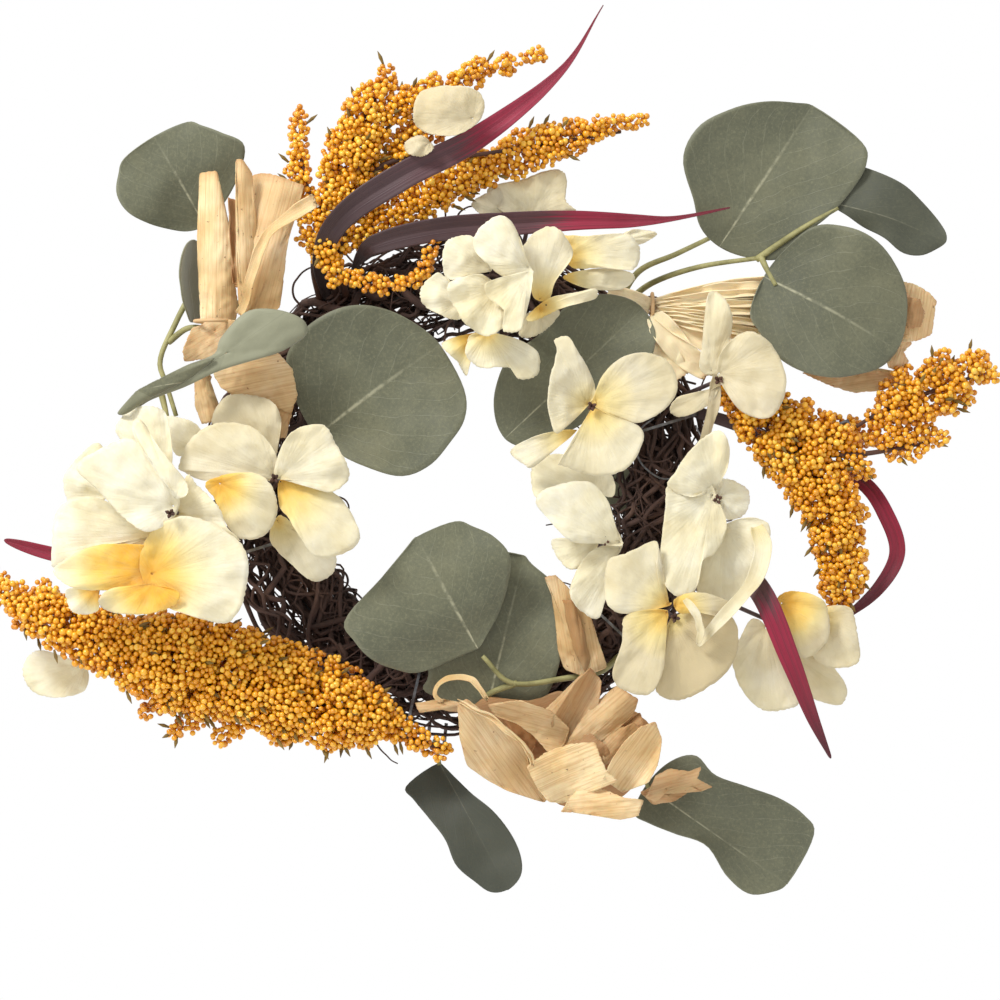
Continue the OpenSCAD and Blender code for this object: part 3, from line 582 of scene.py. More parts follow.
# %% Petals and florets
FLOWERS = {
    1: [
        ([(-164, 8), (-153, 16), (-141, 20), (-132, 11), (-121, -2), (-123, -14), (-134, -20), (-145, -13),
          (-155, -2)], (-123, -9), 96, 103, 0.05),
        ([(-141, 25), (-137, 28), (-130, 18), (-117, 1), (-118, -5), (-125, 0), (-134, 12)], (-122, -6),
         101, 99, 0),
        ([(-149, 22), (-147, 30), (-143, 34), (-132, 34), (-127, 29), (-125, 11), (-130, 2), (-136, 10)],
         (-127, 7), 80, 82, 0.1),
        ([(-172, 0), (-170, 7), (-164, 14), (-156, 18), (-151, 2), (-154, -6), (-168, -9)], (-151, -4), 84,
         84, 0),
        ([(-176, -27), (-175, -14), (-170, -7), (-158, -5), (-149, -9), (-142, -14), (-129, -22),
          (-138, -26), (-147, -25), (-158, -27), (-171, -33), (-176, -35)], (-128, -21), 88, 92, 0.35),
        ([(-175, -37), (-170, -32), (-158, -26), (-143, -25), (-130, -27), (-125, -35), (-132, -40),
          (-139, -44), (-158, -45), (-168, -43)], (-133, -37), 92, 97, 1.0),
        ([(-138, -33), (-133, -20), (-120, -13), (-107, -16), (-94, -25), (-91, -35), (-92, -44),
          (-94, -52), (-100, -59), (-109, -58), (-121, -54), (-130, -51), (-135, -44)], (-133, -38), 94, 96,
          0.7),
        ([(-118, 4), (-113, 0), (-104, -9), (-101, -17), (-95, -24), (-107, -18), (-120, -20), (-124, -16)],
         (-123, -12), 90, 92, 0.2),
        ([(-155, -49), (-149, -44), (-133, -43), (-121, -45), (-122, -51), (-133, -55), (-146, -55),
          (-153, -53)], (-132, -42), 98, 98, 1),
        ([(-171, -45), (-160, -46), (-157, -54), (-166, -56), (-171, -52)], (-157, -44), 80, 78, 0.8),
    ],
    2: [
        ([(-123, 9), (-118, 20), (-107, 27), (-92, 26), (-83, 18), (-80, 11), (-82, 2), (-96, 5), (-111, 2),
          (-121, 6)], (-81, 4), 76, 76, 0),
        ([(-109, 27), (-105, 38), (-95, 40), (-83, 37), (-79, 29), (-80, 20), (-83, 15), (-93, 23)],
         (-81, 13), 68, 66, 0),
        ([(-111, 1), (-101, 5), (-88, 5), (-81, -2), (-80, -13), (-86, -22), (-96, -23), (-103, -15),
          (-107, -6)], (-105, 1), 79, 80, 0.7),
        ([(-81, 4), (-77, 18), (-70, 25), (-59, 26), (-54, 18), (-49, 9), (-49, 2), (-57, -3), (-70, 2)],
         (-79, 3), 80, 86, 0.15),
        ([(-79, -9), (-79, 2), (-70, 3), (-54, -4), (-46, -15), (-44, -24), (-52, -30), (-63, -31),
          (-70, -22), (-75, -14)], (-79, 2), 76, 82, 0.66),
        ([(-84, -24), (-80, -13), (-71, -19), (-62, -27), (-55, -31), (-57, -39), (-65, -42), (-74, -35)],
         (-81, -15), 66, 64, 0.45),
        ([(-130, 29), (-124, 30), (-115, 26), (-112, 16), (-121, 13), (-126, 15)], (-113, 15), 68, 66, 0),
    ],
    3: [
        ([(5, 103), (7, 110), (15, 116), (21, 114), (25, 107), (28, 98), (31, 91), (20, 89), (10, 96)],
         (29, 94), 84, 90, 0),
        ([(-8, 93), (-8, 102), (-5, 107), (4, 108), (8, 102), (13, 94), (2, 91), (-5, 89)], (13, 93), 78,
         82, 0),
        ([(-18, 81), (-17, 87), (-11, 92), (-8, 91), (-4, 87), (-4, 81), (0, 73), (-5, 72), (-14, 76)],
         (3, 81), 76, 80, 0.05),
        ([(-6, 82), (-4, 88), (8, 91), (12, 87), (18, 79), (19, 69), (11, 64), (2, 69), (-2, 75)], (17, 86),
         84, 92, 0),
        ([(10, 86), (20, 90), (30, 92), (30, 83), (27, 71), (25, 66), (18, 66), (18, 75), (12, 80)],
         (29, 92), 88, 96, 0),
        ([(2, 61), (5, 66), (20, 65), (33, 58), (33, 48), (25, 46), (21, 51), (8, 51), (2, 56)], (11, 67),
         72, 78, 0.45),
        ([(-9, 62), (5, 66), (4, 59), (2, 48), (-2, 54)], (7, 67), 70, 66, 0.9),
    ],
    4: [
        ([(26, 103), (33, 111), (41, 112), (47, 105), (48, 99), (41, 89), (38, 81), (32, 81), (29, 89),
          (26, 97)], (34, 81), 72, 78, 0.45),
        ([(41, 109), (55, 109), (70, 110), (74, 109), (78, 103), (76, 95), (70, 94), (59, 95), (49, 95),
          (44, 101)], (43, 100), 66, 70, 0.62),
        ([(68, 108), (75, 112), (85, 111), (83, 108), (75, 105)], (69, 107), 66, 62, 0.3),
        ([(45, 92), (59, 95), (72, 94), (76, 91), (70, 86), (56, 86), (47, 89)], (45, 90), 68, 62, 0.5),
        ([(28, 73), (37, 81), (51, 84), (58, 85), (58, 81), (44, 77), (35, 73), (30, 71)], (34, 77), 70, 82,
         0.55),
        ([(25, 66), (27, 74), (36, 77), (43, 76), (38, 69), (31, 65)], (34, 78), 68, 62, 0.35),
    ],
    5: [
        ([(37, 35), (38, 46), (41, 58), (40, 63), (46, 64), (50, 58), (55, 50), (58, 41), (55, 35),
          (45, 25), (40, 23)], (55, 35), 80, 90, 0.35),
        ([(58, 35), (60, 46), (69, 55), (81, 57), (90, 52), (93, 42), (88, 33), (77, 27), (67, 29),
          (61, 32)], (56, 35), 86, 92, 0.5),
        ([(58, 33), (67, 29), (77, 25), (78, 18), (71, 7), (58, 4), (44, 8), (42, 10), (50, 21), (55, 30)],
         (56, 33), 86, 92, 0.6),
        ([(21, 15), (31, 21), (44, 24), (49, 23), (41, 16), (31, 8), (27, 9)], (50, 24), 80, 76, 0.6),
    ],
    6: [
        ([(30, 5), (33, 11), (43, 14), (56, 9), (66, 4), (66, -5), (56, -2), (45, -1), (33, -6)], (62, -4),
         64, 64, 0),
        ([(32, -7), (37, -1), (54, 2), (63, -6), (66, -16), (70, -26), (58, -25), (47, -24), (37, -14)],
         (69, -25), 74, 82, 0),
        ([(39, -24), (47, -23), (59, -24), (56, -32), (48, -37), (42, -32)], (60, -24), 66, 66, 0),
        ([(57, -28), (70, -25), (65, -36), (62, -45), (60, -58), (52, -55), (47, -47), (50, -37)],
         (69, -27), 70, 68, 0.05),
    ],
    7: [
        ([(104, 51), (105, 63), (107, 82), (111, 85), (117, 78), (118, 68), (113, 51), (110, 48)],
         (109, 50), 66, 68, 0),
        ([(112, 56), (118, 64), (126, 67), (136, 60), (141, 47), (139, 35), (132, 29), (122, 32), (115, 41),
          (112, 48)], (112, 49), 68, 76, 0),
        ([(91, 33), (95, 39), (107, 41), (113, 44), (109, 36), (97, 30)], (112, 43), 66, 62, 0.15),
        ([(109, 47), (113, 47), (113, 36), (110, 26), (107, 17), (104, 17), (107, 32)], (111, 46), 66, 60,
         0.1),
    ],
    8: [
        ([(89, 0), (93, 7), (100, 17), (108, 23), (113, 23), (116, 15), (114, 5), (108, 0), (99, -5)],
         (110, -3), 76, 84, 0),
        ([(88, -10), (89, 0), (99, 1), (108, 1), (112, -8), (115, -18), (110, -29), (104, -33), (102, -43),
          (98, -49), (91, -47), (86, -39), (86, -28)], (109, -4), 76, 84, 0),
        ([(109, 1), (116, 3), (125, -2), (124, -12), (116, -15), (112, -9)], (111, -5), 72, 70, 0),
        ([(112, -19), (124, -14), (134, -17), (133, -30), (130, -41), (122, -50), (113, -52), (104, -50),
          (102, -41), (104, -32)], (114, -19), 68, 72, 0.12),
    ],
    9: [
        ([(62, -49), (63, -33), (71, -29), (84, -24), (84, -35), (87, -49), (91, -51), (81, -54),
          (68, -55)], (90, -52), 82, 88, 0.5),
        ([(71, -56), (88, -54), (88, -64), (87, -79), (81, -90), (69, -88), (65, -81), (69, -68)],
         (89, -54), 84, 88, 0.55),
        ([(86, -67), (91, -59), (100, -54), (116, -56), (120, -68), (116, -79), (104, -89), (93, -93),
          (84, -89), (86, -79)], (91, -57), 80, 84, 0.3),
        ([(92, -49), (103, -46), (117, -51), (116, -57), (103, -55), (94, -55)], (92, -52), 86, 82, 0.6),
    ],
    10: [
        ([(11, 131), (25, 135), (40, 140), (46, 137), (46, 126), (50, 121), (34, 119), (19, 120)],
         (30, 119), 52, 50, 0.15),
        ([(4, 124), (8, 128), (17, 131), (18, 122), (10, 119)], (18, 121), 50, 52, 0.1),
    ],
    11: [
        ([(-21, 161), (-18, 170), (-7, 173), (6, 171), (10, 165), (7, 157), (-3, 151), (-14, 152),
          (-20, 156)], (5, 159), 80, 83, 0.05),
        ([(-25, 149), (-18, 152), (-12, 147), (-16, 143), (-23, 144)], (-14, 149), 76, 74, 0),
    ],
    12: [
        ([(118, -77), (121, -67), (128, -58), (137, -67), (146, -85), (148, -94), (141, -98), (131, -98),
          (122, -89)], (133, -62), 64, 70, 0.1),
        ([(143, -72), (153, -74), (163, -80), (169, -89), (166, -96), (155, -94), (146, -90), (141, -82)],
         (146, -75), 62, 62, 0.15),
        ([(138, -48), (147, -46), (157, -50), (160, -59), (158, -69), (150, -75), (142, -72), (137, -61)],
         (139, -51), 72, 76, 0.85),
        ([(155, -55), (169, -53), (173, -67), (173, -77), (163, -80), (154, -76), (152, -67)], (157, -57),
         66, 70, 0.4),
    ],
    13: [
        ([(-198, -82), (-192, -74), (-181, -76), (-169, -82), (-170, -92), (-183, -95), (-194, -92)],
         (-169, -80), 28, 27, 0),
    ],
}
# Shade numbers for each flower, and extra ones for single petals: partly their beige cloth, partly painted
# shade on petals that lie in shadow
SHADE = {1: 0.0, 2: 0.25, 3: 0.04, 4: 0.2, 5: 0.32, 6: 0.04, 7: 0.5, 8: 0.04, 9: 0.7, 10: 0.45, 11: 0.62,
         12: 0.6, 13: 0.1}
SHADE_MORE = {(1, 8): 0.5, (2, 0): 0.15, (2, 1): 0.4, (5, 1): 0.2, (7, 0): -0.2, (7, 3): 0.3, (9, 0): -0.35,
              (9, 2): 0.3, (12, 0): -0.2}
CURLS = {8: [([(128, -18, 74), (131, -27, 77), (128, -39, 82), (119, -51, 87), (109, -61, 89),
               (102, -69, 88)],
             (3.0, 4.2, 4.4, 3.4, 2.4, 1))],
         9: [([(96, -49, 92), (101, -55, 94), (103, -62, 94), (102, -68, 92)], (1.2, 2.0, 2.0, 0.8))]}
for number, petals in FLOWERS.items():
    cloth = [strip(path, widths, widths, roll=(-10, 35, 20), bend=50, ruffle=0.8, crumple=0.8, rows=40,
                   cols=13, tint=0.2, shade=0.2,
                   seed=number) for path, widths in CURLS.get(number, ())]
    cloth += [patch(outline, held, low, high, tint, seed=number * 20 + k, bow=2.6, droop=0.3, ruffle=1.3,
                    ragged=0.5, crumple=1.5,
                    shade=SHADE[number] + SHADE_MORE.get((number, k), 0))
             for k, (outline, held, low, high, tint) in enumerate(petals)]
    thicken(build(f"flower_{number}_petals", cloth, petal_finish, "wreath", (f"bloom_{number}",)),
            0.22)
print("flowers:", len(FLOWERS), "petals:", sum(len(p) for p in FLOWERS.values()))

# %% [markdown]
# ## Stems, stalks and knots
# Moulded stems are simple tapering tubes. Each flower has a wire stalk wrapped in green
# tape that goes back into the twigs, and a little brown knot where its petals meet.

# %% Stem finishes
def stem_plastic(name, dark, light, rough=0.55):
    f = Finish(name, Roughness=rough)
    mottle = f.noise(f.place(), 160, 3)
    f.colour(f.ramp(mottle, [(0.3, dark), (0.7, light)]))
    f.bump(f.noise(f.lay(3, 8), 6, 3), 0.4, 0.4)
    return f.material


khaki_finish = stem_plastic("stem_khaki", srgb(122, 118, 72), srgb(168, 162, 108))
brown_finish = stem_plastic("stem_brown", srgb(58, 36, 30), srgb(96, 62, 44), 0.7)
tape_finish = stem_plastic("stalk_tape", srgb(62, 46, 48), srgb(98, 80, 78), 0.6)
MIDDLES = {1: (-124, -12, 101), 2: (-81, 3, 79), 3: (18, 84, 82), 4: (38, 80, 70), 5: (56, 34, 90),
           6: (62, -24, 74),
           7: (112, 46, 68), 8: (111, -6, 77), 9: (92, -57, 88), 10: (30, 119, 52), 11: (-7, 157, 78),
           12: (150, -66, 68),
           13: (-168, -80, 28)}
FEET = {5: (76, 24, 34), 11: (-25, 167, 58)}
STALKS, KNOTS = [], []
for number, middle in MIDDLES.items():
    a = np.array(middle, float)
    reach = math.hypot(a[0], a[1])
    clamp = min(106, max(76, reach)) / reach
    foot = np.array(FEET.get(number, (a[0] * clamp, a[1] * clamp, 34)), float)
    STALKS.append(tube([a - [0, 0, 3], (a * 0.5 + foot * 0.5) + [0, 0, -4], foot], [0.9, 1.1], 12, 8))
    for k in range(4):
        way = np.array([math.cos(1.7 * k + number), math.sin(1.7 * k + number), 0.5]) * 2.0
        KNOTS.append(tube([a, a + way * 0.6 + [0, 0, 1.2], a + way + [0, 0, 2.0]], [0.5, 0.9, 0.3], 7, 6))
build("flower_stalks", STALKS, tape_finish, "wreath")
build("flower_knots", KNOTS, brown_finish, "wreath")
STEMS = {
    "eucalyptus_stem_1": [((-88, 67, 28), (-104, 84, 30), (-119, 87, 36), (-130, 68, 40), (-134.6, 55, 42),
                           (-131.5, 45, 44), (-127, 31, 46)),
                          ((-131, 64, 40), (-122, 70, 44), (-112, 70, 46)),
                          ((-133.5, 40, 44), (-131, 30.5, 46))],
    "eucalyptus_stem_2": [((70, 83, 30), (79, 96, 38), (95, 103, 44), (114, 112, 46))],
    "eucalyptus_stem_3": [((73, 82, 22), (85, 91, 32), (106, 97.5, 43), (134, 101, 52)),
                          ((130, 100, 51), (148, 112, 59), (165, 122, 62)),
                          ((132, 101, 52), (134, 96, 55), (138, 88, 58))],
    "eucalyptus_stem_4": [((70, -76, 36), (61, -82, 52), (45, -85, 54), (22, -87, 56), (9, -75, 58)),
                          ((24, -87, 56), (12, -92, 50), (10, -97, 48))],
}
for name, paths in STEMS.items():
    build(name + "_tube", [tube(p, [1.5, 1.3, 1.0], 26, 10) for p in paths], khaki_finish, "wreath",
          (name,))
print("stalks:", len(STALKS), "stems:", len(STEMS))

# %% [markdown]
# ## Glossy berries
# Each spray is hundreds of small moulded beads crowded round a branching stem. One bead is
# a small sphere of 80 triangles, copied in bulk with numpy, which is far quicker than
# making an object for each. Beads are thrown into the spray at random, and one that lands
# on another is thrown away, which packs them the way real ones sit.

# %% Bead and stem finishes
def bead_gloss():
    f = Finish("berry_gloss", Roughness=0.24, Specular_IOR_Level=0.75,
               Subsurface_Weight=0.12, Subsurface_Scale=0.001, Subsurface_Radius=(1.0, 0.5, 0.2))
    # the tint runs from dark orange to pale yellow; part of it is painted light and shade from crowd()
    tone = f.ramp(f.tint(), [(0.05, srgb(164, 92, 6)), (0.35, srgb(218, 142, 14)), (0.65, srgb(246, 180, 34)),
                             (1.0, srgb(255, 214, 84))])
    f.colour(f.mix(f.math("MULTIPLY", f.noise(f.place(), 500, 2), 0.25), tone, srgb(190, 112, 10)))
    return f.material


bead_finish = bead_gloss()


def ball():
    import bmesh
    bm = bmesh.new()
    bmesh.ops.create_icosphere(bm, subdivisions=2, radius=1)
    bm.verts.ensure_lookup_table()
    v = np.array([x.co for x in bm.verts])
    f = np.array([[x.index for x in face.verts] for face in bm.faces])
    bm.free()
    return v, f


BALL_V, BALL_F = ball()
print("one bead has", len(BALL_F), "triangles")

# %% [markdown]
# ## Crowding the beads
# A branchlet is a line with a width that swells and tapers. Small clumps sit all over it,
# and each clump is covered with beads. A bead that lands on another is thrown away, which
# is found quickly by sorting the beads into small boxes of space. Some clumps carry a
# narrow pointed bract. Each bead gets a tint: part random, and part painted light and
# shade, paler on the front of its clump and on clumps nearer the front of the spray.

# %% Throw the beads into a spray
def crowd(branchlets, seed, depth=0.6):
    rnd = random.Random(seed)
    kept, bracts, boxes, cell = [], [], {}, 3.7
    for path, widths in branchlets:
        line = flow(path, 80)
        long = np.linalg.norm(np.diff(line, axis=0), axis=1).sum()
        d = unit(np.gradient(line, axis=0))
        side = unit(np.stack([-d[:, 1], d[:, 0], 0 * d[:, 0]], -1))
        size = np.interp(np.linspace(0, 1, 80), np.linspace(0, 1, len(widths)), widths)
        for station in range(int(long / 4.2) + 1):
            k = min(79, int(79 * (station + rnd.random()) * 4.2 / long))
            for _ in range(max(1, round(size[k] ** 2 / 10))):
                a, reach = rnd.random() * 2 * math.pi, max(0.0, size[k] - 3.2) * rnd.random() ** 0.3
                clump = min(rnd.uniform(3.4, 5.2), size[k] + 0.8)
                middle = line[k] + side[k] * reach * math.cos(a) + [0, 0,
                    depth * reach * math.sin(a)] + d[k] * rnd.uniform(-2, 2)
                shade = rnd.random()
                for _ in range(int(clump**2 * 2.4)):
                    way = np.array([rnd.gauss(0, 1), rnd.gauss(0, 1), rnd.gauss(0, 0.8)])
                    way /= np.linalg.norm(way) + 1e-9
                    r = 1.08 + 0.62 * rnd.random() ** 1.6
                    p = middle + way * (clump - r) * rnd.uniform(0.85, 1.0)
                    key = tuple((p / cell).astype(int))
                    near = [q for x in (-1, 0, 1) for y in (-1, 0, 1) for z in (-1, 0, 1)
                            for q in boxes.get((key[0] + x, key[1] + y, key[2] + z), ())]
                    if all((p[0] - q[0]) ** 2 + (p[1] - q[1]) ** 2 + (p[2] - q[2]) ** 2
                           > ((r + q[3]) * 0.86) ** 2 for q in near):
                        boxes.setdefault(key, []).append((*p, r))
                        # painted light and shade: beads nearer the front are painted paler, deeper ones
                        # darker
                        painted_front_light = 0.5 + 0.5 * math.sin(a) * reach / (size[k] + 0.1) + 0.25 * way[2]
                        kept.append((p, r, 0.3 * shade + 0.35 * rnd.random() + 0.35 * min(1, max(0, painted_front_light))))
                if rnd.random() < 0.07:
                    way = side[k] * math.cos(a) + d[k] * 0.9 + [0, 0, 0.4]
                    bracts.append((middle + way * clump * 0.6, middle + way * (clump + 2.6)))
    return kept, bracts


def bead_mesh(name, beads, body, replaces):
    centre = np.array([spot(p) for p, _, _ in beads])
    size = np.array([r for _, r, _ in beads]) * MM
    verts = (centre[:, None] + BALL_V[None] * size[:, None, None]).reshape(-1, 3)
    faces = (BALL_F[None] + (np.arange(len(beads)) * len(BALL_V))[:, None, None]).reshape(-1, 3)
    tint = np.repeat([t for _, _, t in beads], len(BALL_V))
    lay = np.zeros((len(verts), 2))
    return finish_mesh(name, verts, faces, lay, tint, bead_finish, body, replaces)


SPRAYS = {
    "berries_1": [
        ([(-63, 98, 52), (-70, 126, 54), (-73, 146, 55), (-72, 163, 55)], (4, 7, 7, 6, 4)),
        ([(-70, 108, 52), (-60, 120, 55), (-56, 132, 55), (-57, 144, 55)], (5, 7, 6, 4)),
        ([(-56, 106, 52), (-52, 135, 58), (-42, 160, 60), (-32, 182, 58)], (6, 13, 14, 12, 4)),
        ([(-50, 112, 50), (-36, 136, 54), (-20, 152, 54), (-4, 162, 55)], (7, 12, 12, 8, 5)),
        ([(-34, 160, 60), (-18, 173, 60), (6, 181, 58), (36, 190, 56)], (6, 7, 6.5, 6.5, 6, 3.5)),
        ([(-22, 126, 52), (6, 139, 53), (36, 150, 55), (60, 157, 56), (78, 161, 55)], (9, 11, 11, 7, 3)),
        ([(-64, 104, 50), (-44, 112, 50), (-16, 126, 52), (8, 136, 54)], (6, 9, 10, 8, 5)),
        ([(-56, 96, 56), (-36, 88, 60), (-20, 92, 61), (-11, 108, 60)], (4, 5, 5, 4.5, 3)),
        ([(-58, 118, 56), (-60, 104, 58), (-56, 92, 58)], (6, 7, 6, 5)),
    ],
    "berries_2": [
        ([(116, 44, 53), (132, 30, 58), (149, 12, 60), (161, -6, 60), (166, -26, 58), (167, -46, 56),
          (164, -64, 54)],
         (6, 15, 18, 17, 15, 13, 10, 5)),
        ([(130, 36, 56), (150, 28, 60), (168, 18, 57), (176, 8, 58)], (8, 11, 10, 7, 5)),
        ([(160, 24, 58), (170, 18, 58), (178, 4, 56)], (7, 9, 8, 5)),
        ([(160, 27, 50), (171, 25, 49), (181, 22, 49)], (6, 7, 6)),
    ],
    "berries_3": [
        ([(-208, -42, 46), (-190, -53, 52), (-172, -62, 56), (-150, -72, 58)], (5, 13, 15, 16)),
        ([(-158, -69, 58), (-130, -77, 60), (-100, -83, 60), (-72, -91, 60)], (14, 23, 24, 20)),
        ([(-84, -94, 60), (-58, -98, 60), (-40, -102, 57), (-24, -108, 53)], (18, 19, 15, 6)),
        ([(-34, -104, 56), (-22, -111, 53), (-8, -117, 50)], (7, 6, 5)),
        ([(-120, -84, 58), (-130, -94, 57), (-139, -99, 56)], (8, 6, 4)),
        ([(-104, -88, 58), (-117, -102, 57), (-126, -108, 55)], (8, 6, 4)),
        ([(-88, -94, 58), (-100, -106, 57), (-108, -111, 55)], (9, 6, 4)),
        ([(-64, -100, 58), (-74, -108, 57), (-81, -112, 55)], (8, 6, 4)),
        ([(-46, -104, 58), (-54, -110, 57), (-60, -113, 55)], (8, 5, 4)),
        ([(-46, -86, 56), (-60, -78, 58), (-76, -70, 58)], (5, 5, 3)),
        ([(-118, -70, 58), (-126, -62, 58), (-131, -57, 57)], (7, 5, 3)),
        ([(-148, -62, 58), (-156, -55, 58), (-161, -50, 57)], (6, 5, 3)),
    ],
}
bract_finish = stem_plastic("bract_olive", srgb(96, 74, 26), srgb(140, 112, 44), 0.7)
for number, (name, branchlets) in enumerate(SPRAYS.items()):
    beads, bracts = crowd(branchlets, 40 + number)
    bead_mesh(name + "_beads", beads, "wreath", (name,))
    build(name + "_bracts", [tube([a, (a + b) / 2, b], [0.5, 0.9, 0.1], 7, 5) for a, b in bracts],
          bract_finish, "wreath")
    print(name, "beads:", len(beads))
sprig, sprig_bracts = crowd([([(181, 29, 56), (194, 34, 55), (212, 42, 53), (233, 55, 52)],
                              (5, 10, 13, 13, 9)),
                             ([(184, 34, 56), (189, 44, 56), (196, 52, 55)], (5, 6, 3)),
                             ([(200, 40, 54), (206, 50, 54), (212, 58, 53)], (6, 6, 3)),
                             ([(182, 24, 56), (194, 19, 55), (210, 24, 54)], (6, 9, 7))], 47)
bead_mesh("berry_sprig_beads", sprig, "berry_sprig", ("berry_sprig",))
build("berry_sprig_stalk", [tube([(173.6, 26, 56), (182, 31, 56), (200, 39, 55), (228, 49, 53)],
                                 [0.8, 1.0, 0.8], 20, 8)],
      brown_finish, "berry_sprig")
build("berry_sprig_bracts", [tube([a, (a + b) / 2, b], [0.5, 0.9, 0.1], 7, 5) for a, b in sprig_bracts],
      bract_finish,
      "berry_sprig")
print("sprig beads:", len(sprig))

# %% [markdown]
# ## The stems inside the sprays
# Dark brown stems hold the beads and show between them near the root.

# %% Spray stems
SPRAY_STEMS = {
    "berries_1_stems": [[(-60, 84, 32), (-63, 105, 50), (-60, 130, 56), (-50, 150, 58), (-34, 178, 58)],
                        [(-56, 82, 32), (-60, 104, 50), (-68, 130, 54), (-73, 156, 54)],
                        [(-52, 84, 34), (-54, 104, 52), (-36, 140, 60), (10, 146, 58), (70, 156, 55)],
                        [(-64, 84, 34), (-66, 98, 50), (-62, 118, 56)]],
    "berries_2_stems": [[(100, 36, 34), (118, 40, 52), (136, 24, 58), (156, 4, 59), (166, -20, 59),
                         (164, -58, 54)],
                        [(146, 16, 57), (160, 20, 57), (164, 21, 56)],
                        [(150, 14, 58), (176, 14, 58), (206, 19, 54)]],
    "berries_3_stems": [[(-30, -96, 34), (-36, -100, 54), (-70, -95, 58), (-120, -84, 58), (-170, -66, 54),
                         (-200, -50, 48)],
                        [(-34, -98, 34), (-30, -108, 52), (-8, -117, 50)]],
}
for name, paths in SPRAY_STEMS.items():
    build(name, [tube(p, [1.7, 1.4, 1.1, 0.7], 40, 8) for p in paths], brown_finish, "wreath")
print("spray stems:", sum(len(p) for p in SPRAY_STEMS.values()))

# %% [markdown]
# ## Grass blades
# A blade is a long ribbed ribbon of cloth, brown-purple near the root and crimson towards
# the tip, drawn out to a fine dark tail. It is folded to a shallow gutter along its length.

# %% Grass cloth and blades
def grass_cloth():
    f = Finish("grass_cloth", Roughness=0.5, Sheen_Weight=0.15)
    u = f.axis(f.lay(), "X")
    shade = f.noise(f.lay(3, 12), 1.0, 2)
    along = f.math("ADD", f.math("SUBTRACT", u, f.tint()), f.math("MULTIPLY",
        f.math("SUBTRACT", shade, 0.5), 0.22))
    tone = f.ramp(f.math("ADD", along, 0.5), [(0.0, srgb(46, 30, 27)), (0.35, srgb(78, 54, 56)),
                                              (0.5, srgb(96, 56, 62)),
                                            (0.56, srgb(154, 8, 54)), (0.8, srgb(142, 6, 44)),
                                            (1.0, srgb(96, 14, 32))])
    ribs = f.noise(f.lay(1.2, 26), 1.0, 2)
    f.colour(f.mix(f.ramp(ribs, [(0.4, (0, 0, 0)), (0.7, (0.65, 0.65, 0.65))]), tone, srgb(50, 18, 26)))
    f.bump(ribs, 0.6, 0.6)
    return f.material


grass_finish = grass_cloth()
BLADES = {
    "blade_1": ([(-61, 83, 34), (-62, 101, 56), (-52, 118, 67), (-26, 135, 71), (7, 152, 69), (43, 181, 65),
                 (62, 211, 60)],
                (1.2, 2.2, 3.8, 5.4, 6.0, 4.8, 1.5, 0.4, 0.2)),
    "blade_2": ([(-50, 94, 36), (-44, 102, 54), (-36, 107, 60), (-12, 112.5, 62), (20, 115, 61),
                 (50, 116.5, 60),
                 (76, 116.5, 58), (94, 117.8, 57), (118, 122.5, 56)],
                 (0.8, 1.2, 3.2, 5.2, 5.2, 3.6, 1.3, 0.6, 0.3)),
    "blade_3": ([(-100, -20, 34), (-139, -38, 44), (-178, -31, 48), (-203, -24, 48)],
                (2, 3.4, 3.4, 2.6, 0.3)),
    "blade_4": ([(98, 35, 34), (126, 26, 38), (152, 13, 42), (177, 2, 46), (188, -14, 50), (192, -30, 52),
                 (184, -45, 52),
                 (170, -58, 50)], (2, 2.6, 3.0, 3.4, 3.6, 3.2, 2.0, 0.3)),
    "blade_5": ([(99, -26, 34), (117, -33, 57), (130, -46, 79), (142, -75, 83), (152, -100, 77),
                 (161, -119, 69)],
                (2, 3.2, 5.0, 4.8, 3.2, 1.4, 0.3)),
}
BROWN_UNTIL = {"blade_1": 0.62, "blade_2": 0.56, "blade_3": 0.66, "blade_4": 0.4, "blade_5": 0.42}
for number, (name, (path, widths)) in enumerate(BLADES.items()):
    blade = build(name + "_cloth", [strip(path, widths, widths, roll=(10, 25, 0, -12), fold=14, crumple=0.6,
                                          rows=90, cols=13,
                  tint=BROWN_UNTIL[name], seed=60 + number)], grass_finish, "wreath", (name,))
    thicken(blade, 0.4)
print("blades:", len(BLADES))

# %% [markdown]
# ## Husks
# Dry maize husk is torn into strips, pinched and tied, so it stands in a bow and curls at
# its edges. The finish is a pale straw with fine lines along each strip and brown specks,
# and the ends are torn rather than cut. Pieces that lie in shadow are painted darker with
# painted shade, a dark backing piece and a few dark strips stand in for the shadow between
# pieces, and the fan strips of husk_2 are painted paler with painted light.

# %% Husk finish and strips
def husk_paper():
    f = Finish("dry_husk", Roughness=0.68, Subsurface_Weight=0.12, Subsurface_Scale=0.002)
    place = f.place()
    cloud = f.noise(place, 40, 3)
    base = f.ramp(cloud, [(0.3, srgb(214, 180, 122)), (0.5, srgb(231, 202, 150)),
                          (0.72, srgb(241, 221, 178))])
    lines = f.noise(f.lay(2.2, 46), 1.0, 3, 0.7)
    base = f.mix(f.ramp(lines, [(0.45, (0, 0, 0)), (0.64, (0.45, 0.45, 0.45))]), base, srgb(182, 130, 72))
    specks = f.noise(place, 420, 2)
    base = f.mix(f.ramp(specks, [(0.70, (0, 0, 0)), (0.76, (0.8, 0.8, 0.8))]), base, srgb(120, 78, 44))
    ends = f.ramp(f.axis(f.lay(), "X"), [(0.0, (0.5, 0.5, 0.5)), (0.06, (0, 0, 0)), (0.93, (0, 0, 0)),
                                         (1.0, (0.5, 0.5, 0.5))])
    # painted shade: the shade number darkens pieces that lie in shadow
    base = f.mix(f.tint("shade"), base, srgb(152, 106, 60))
    # painted light: the tint paints the husk_2 fan strips paler, as they lie deep among other pieces
    base = f.mix(f.tint(), base, srgb(255, 236, 196))
    f.colour(f.mix(ends, base, srgb(170, 118, 66)))
    f.bump(lines, 0.55, 0.6)
    return f.material


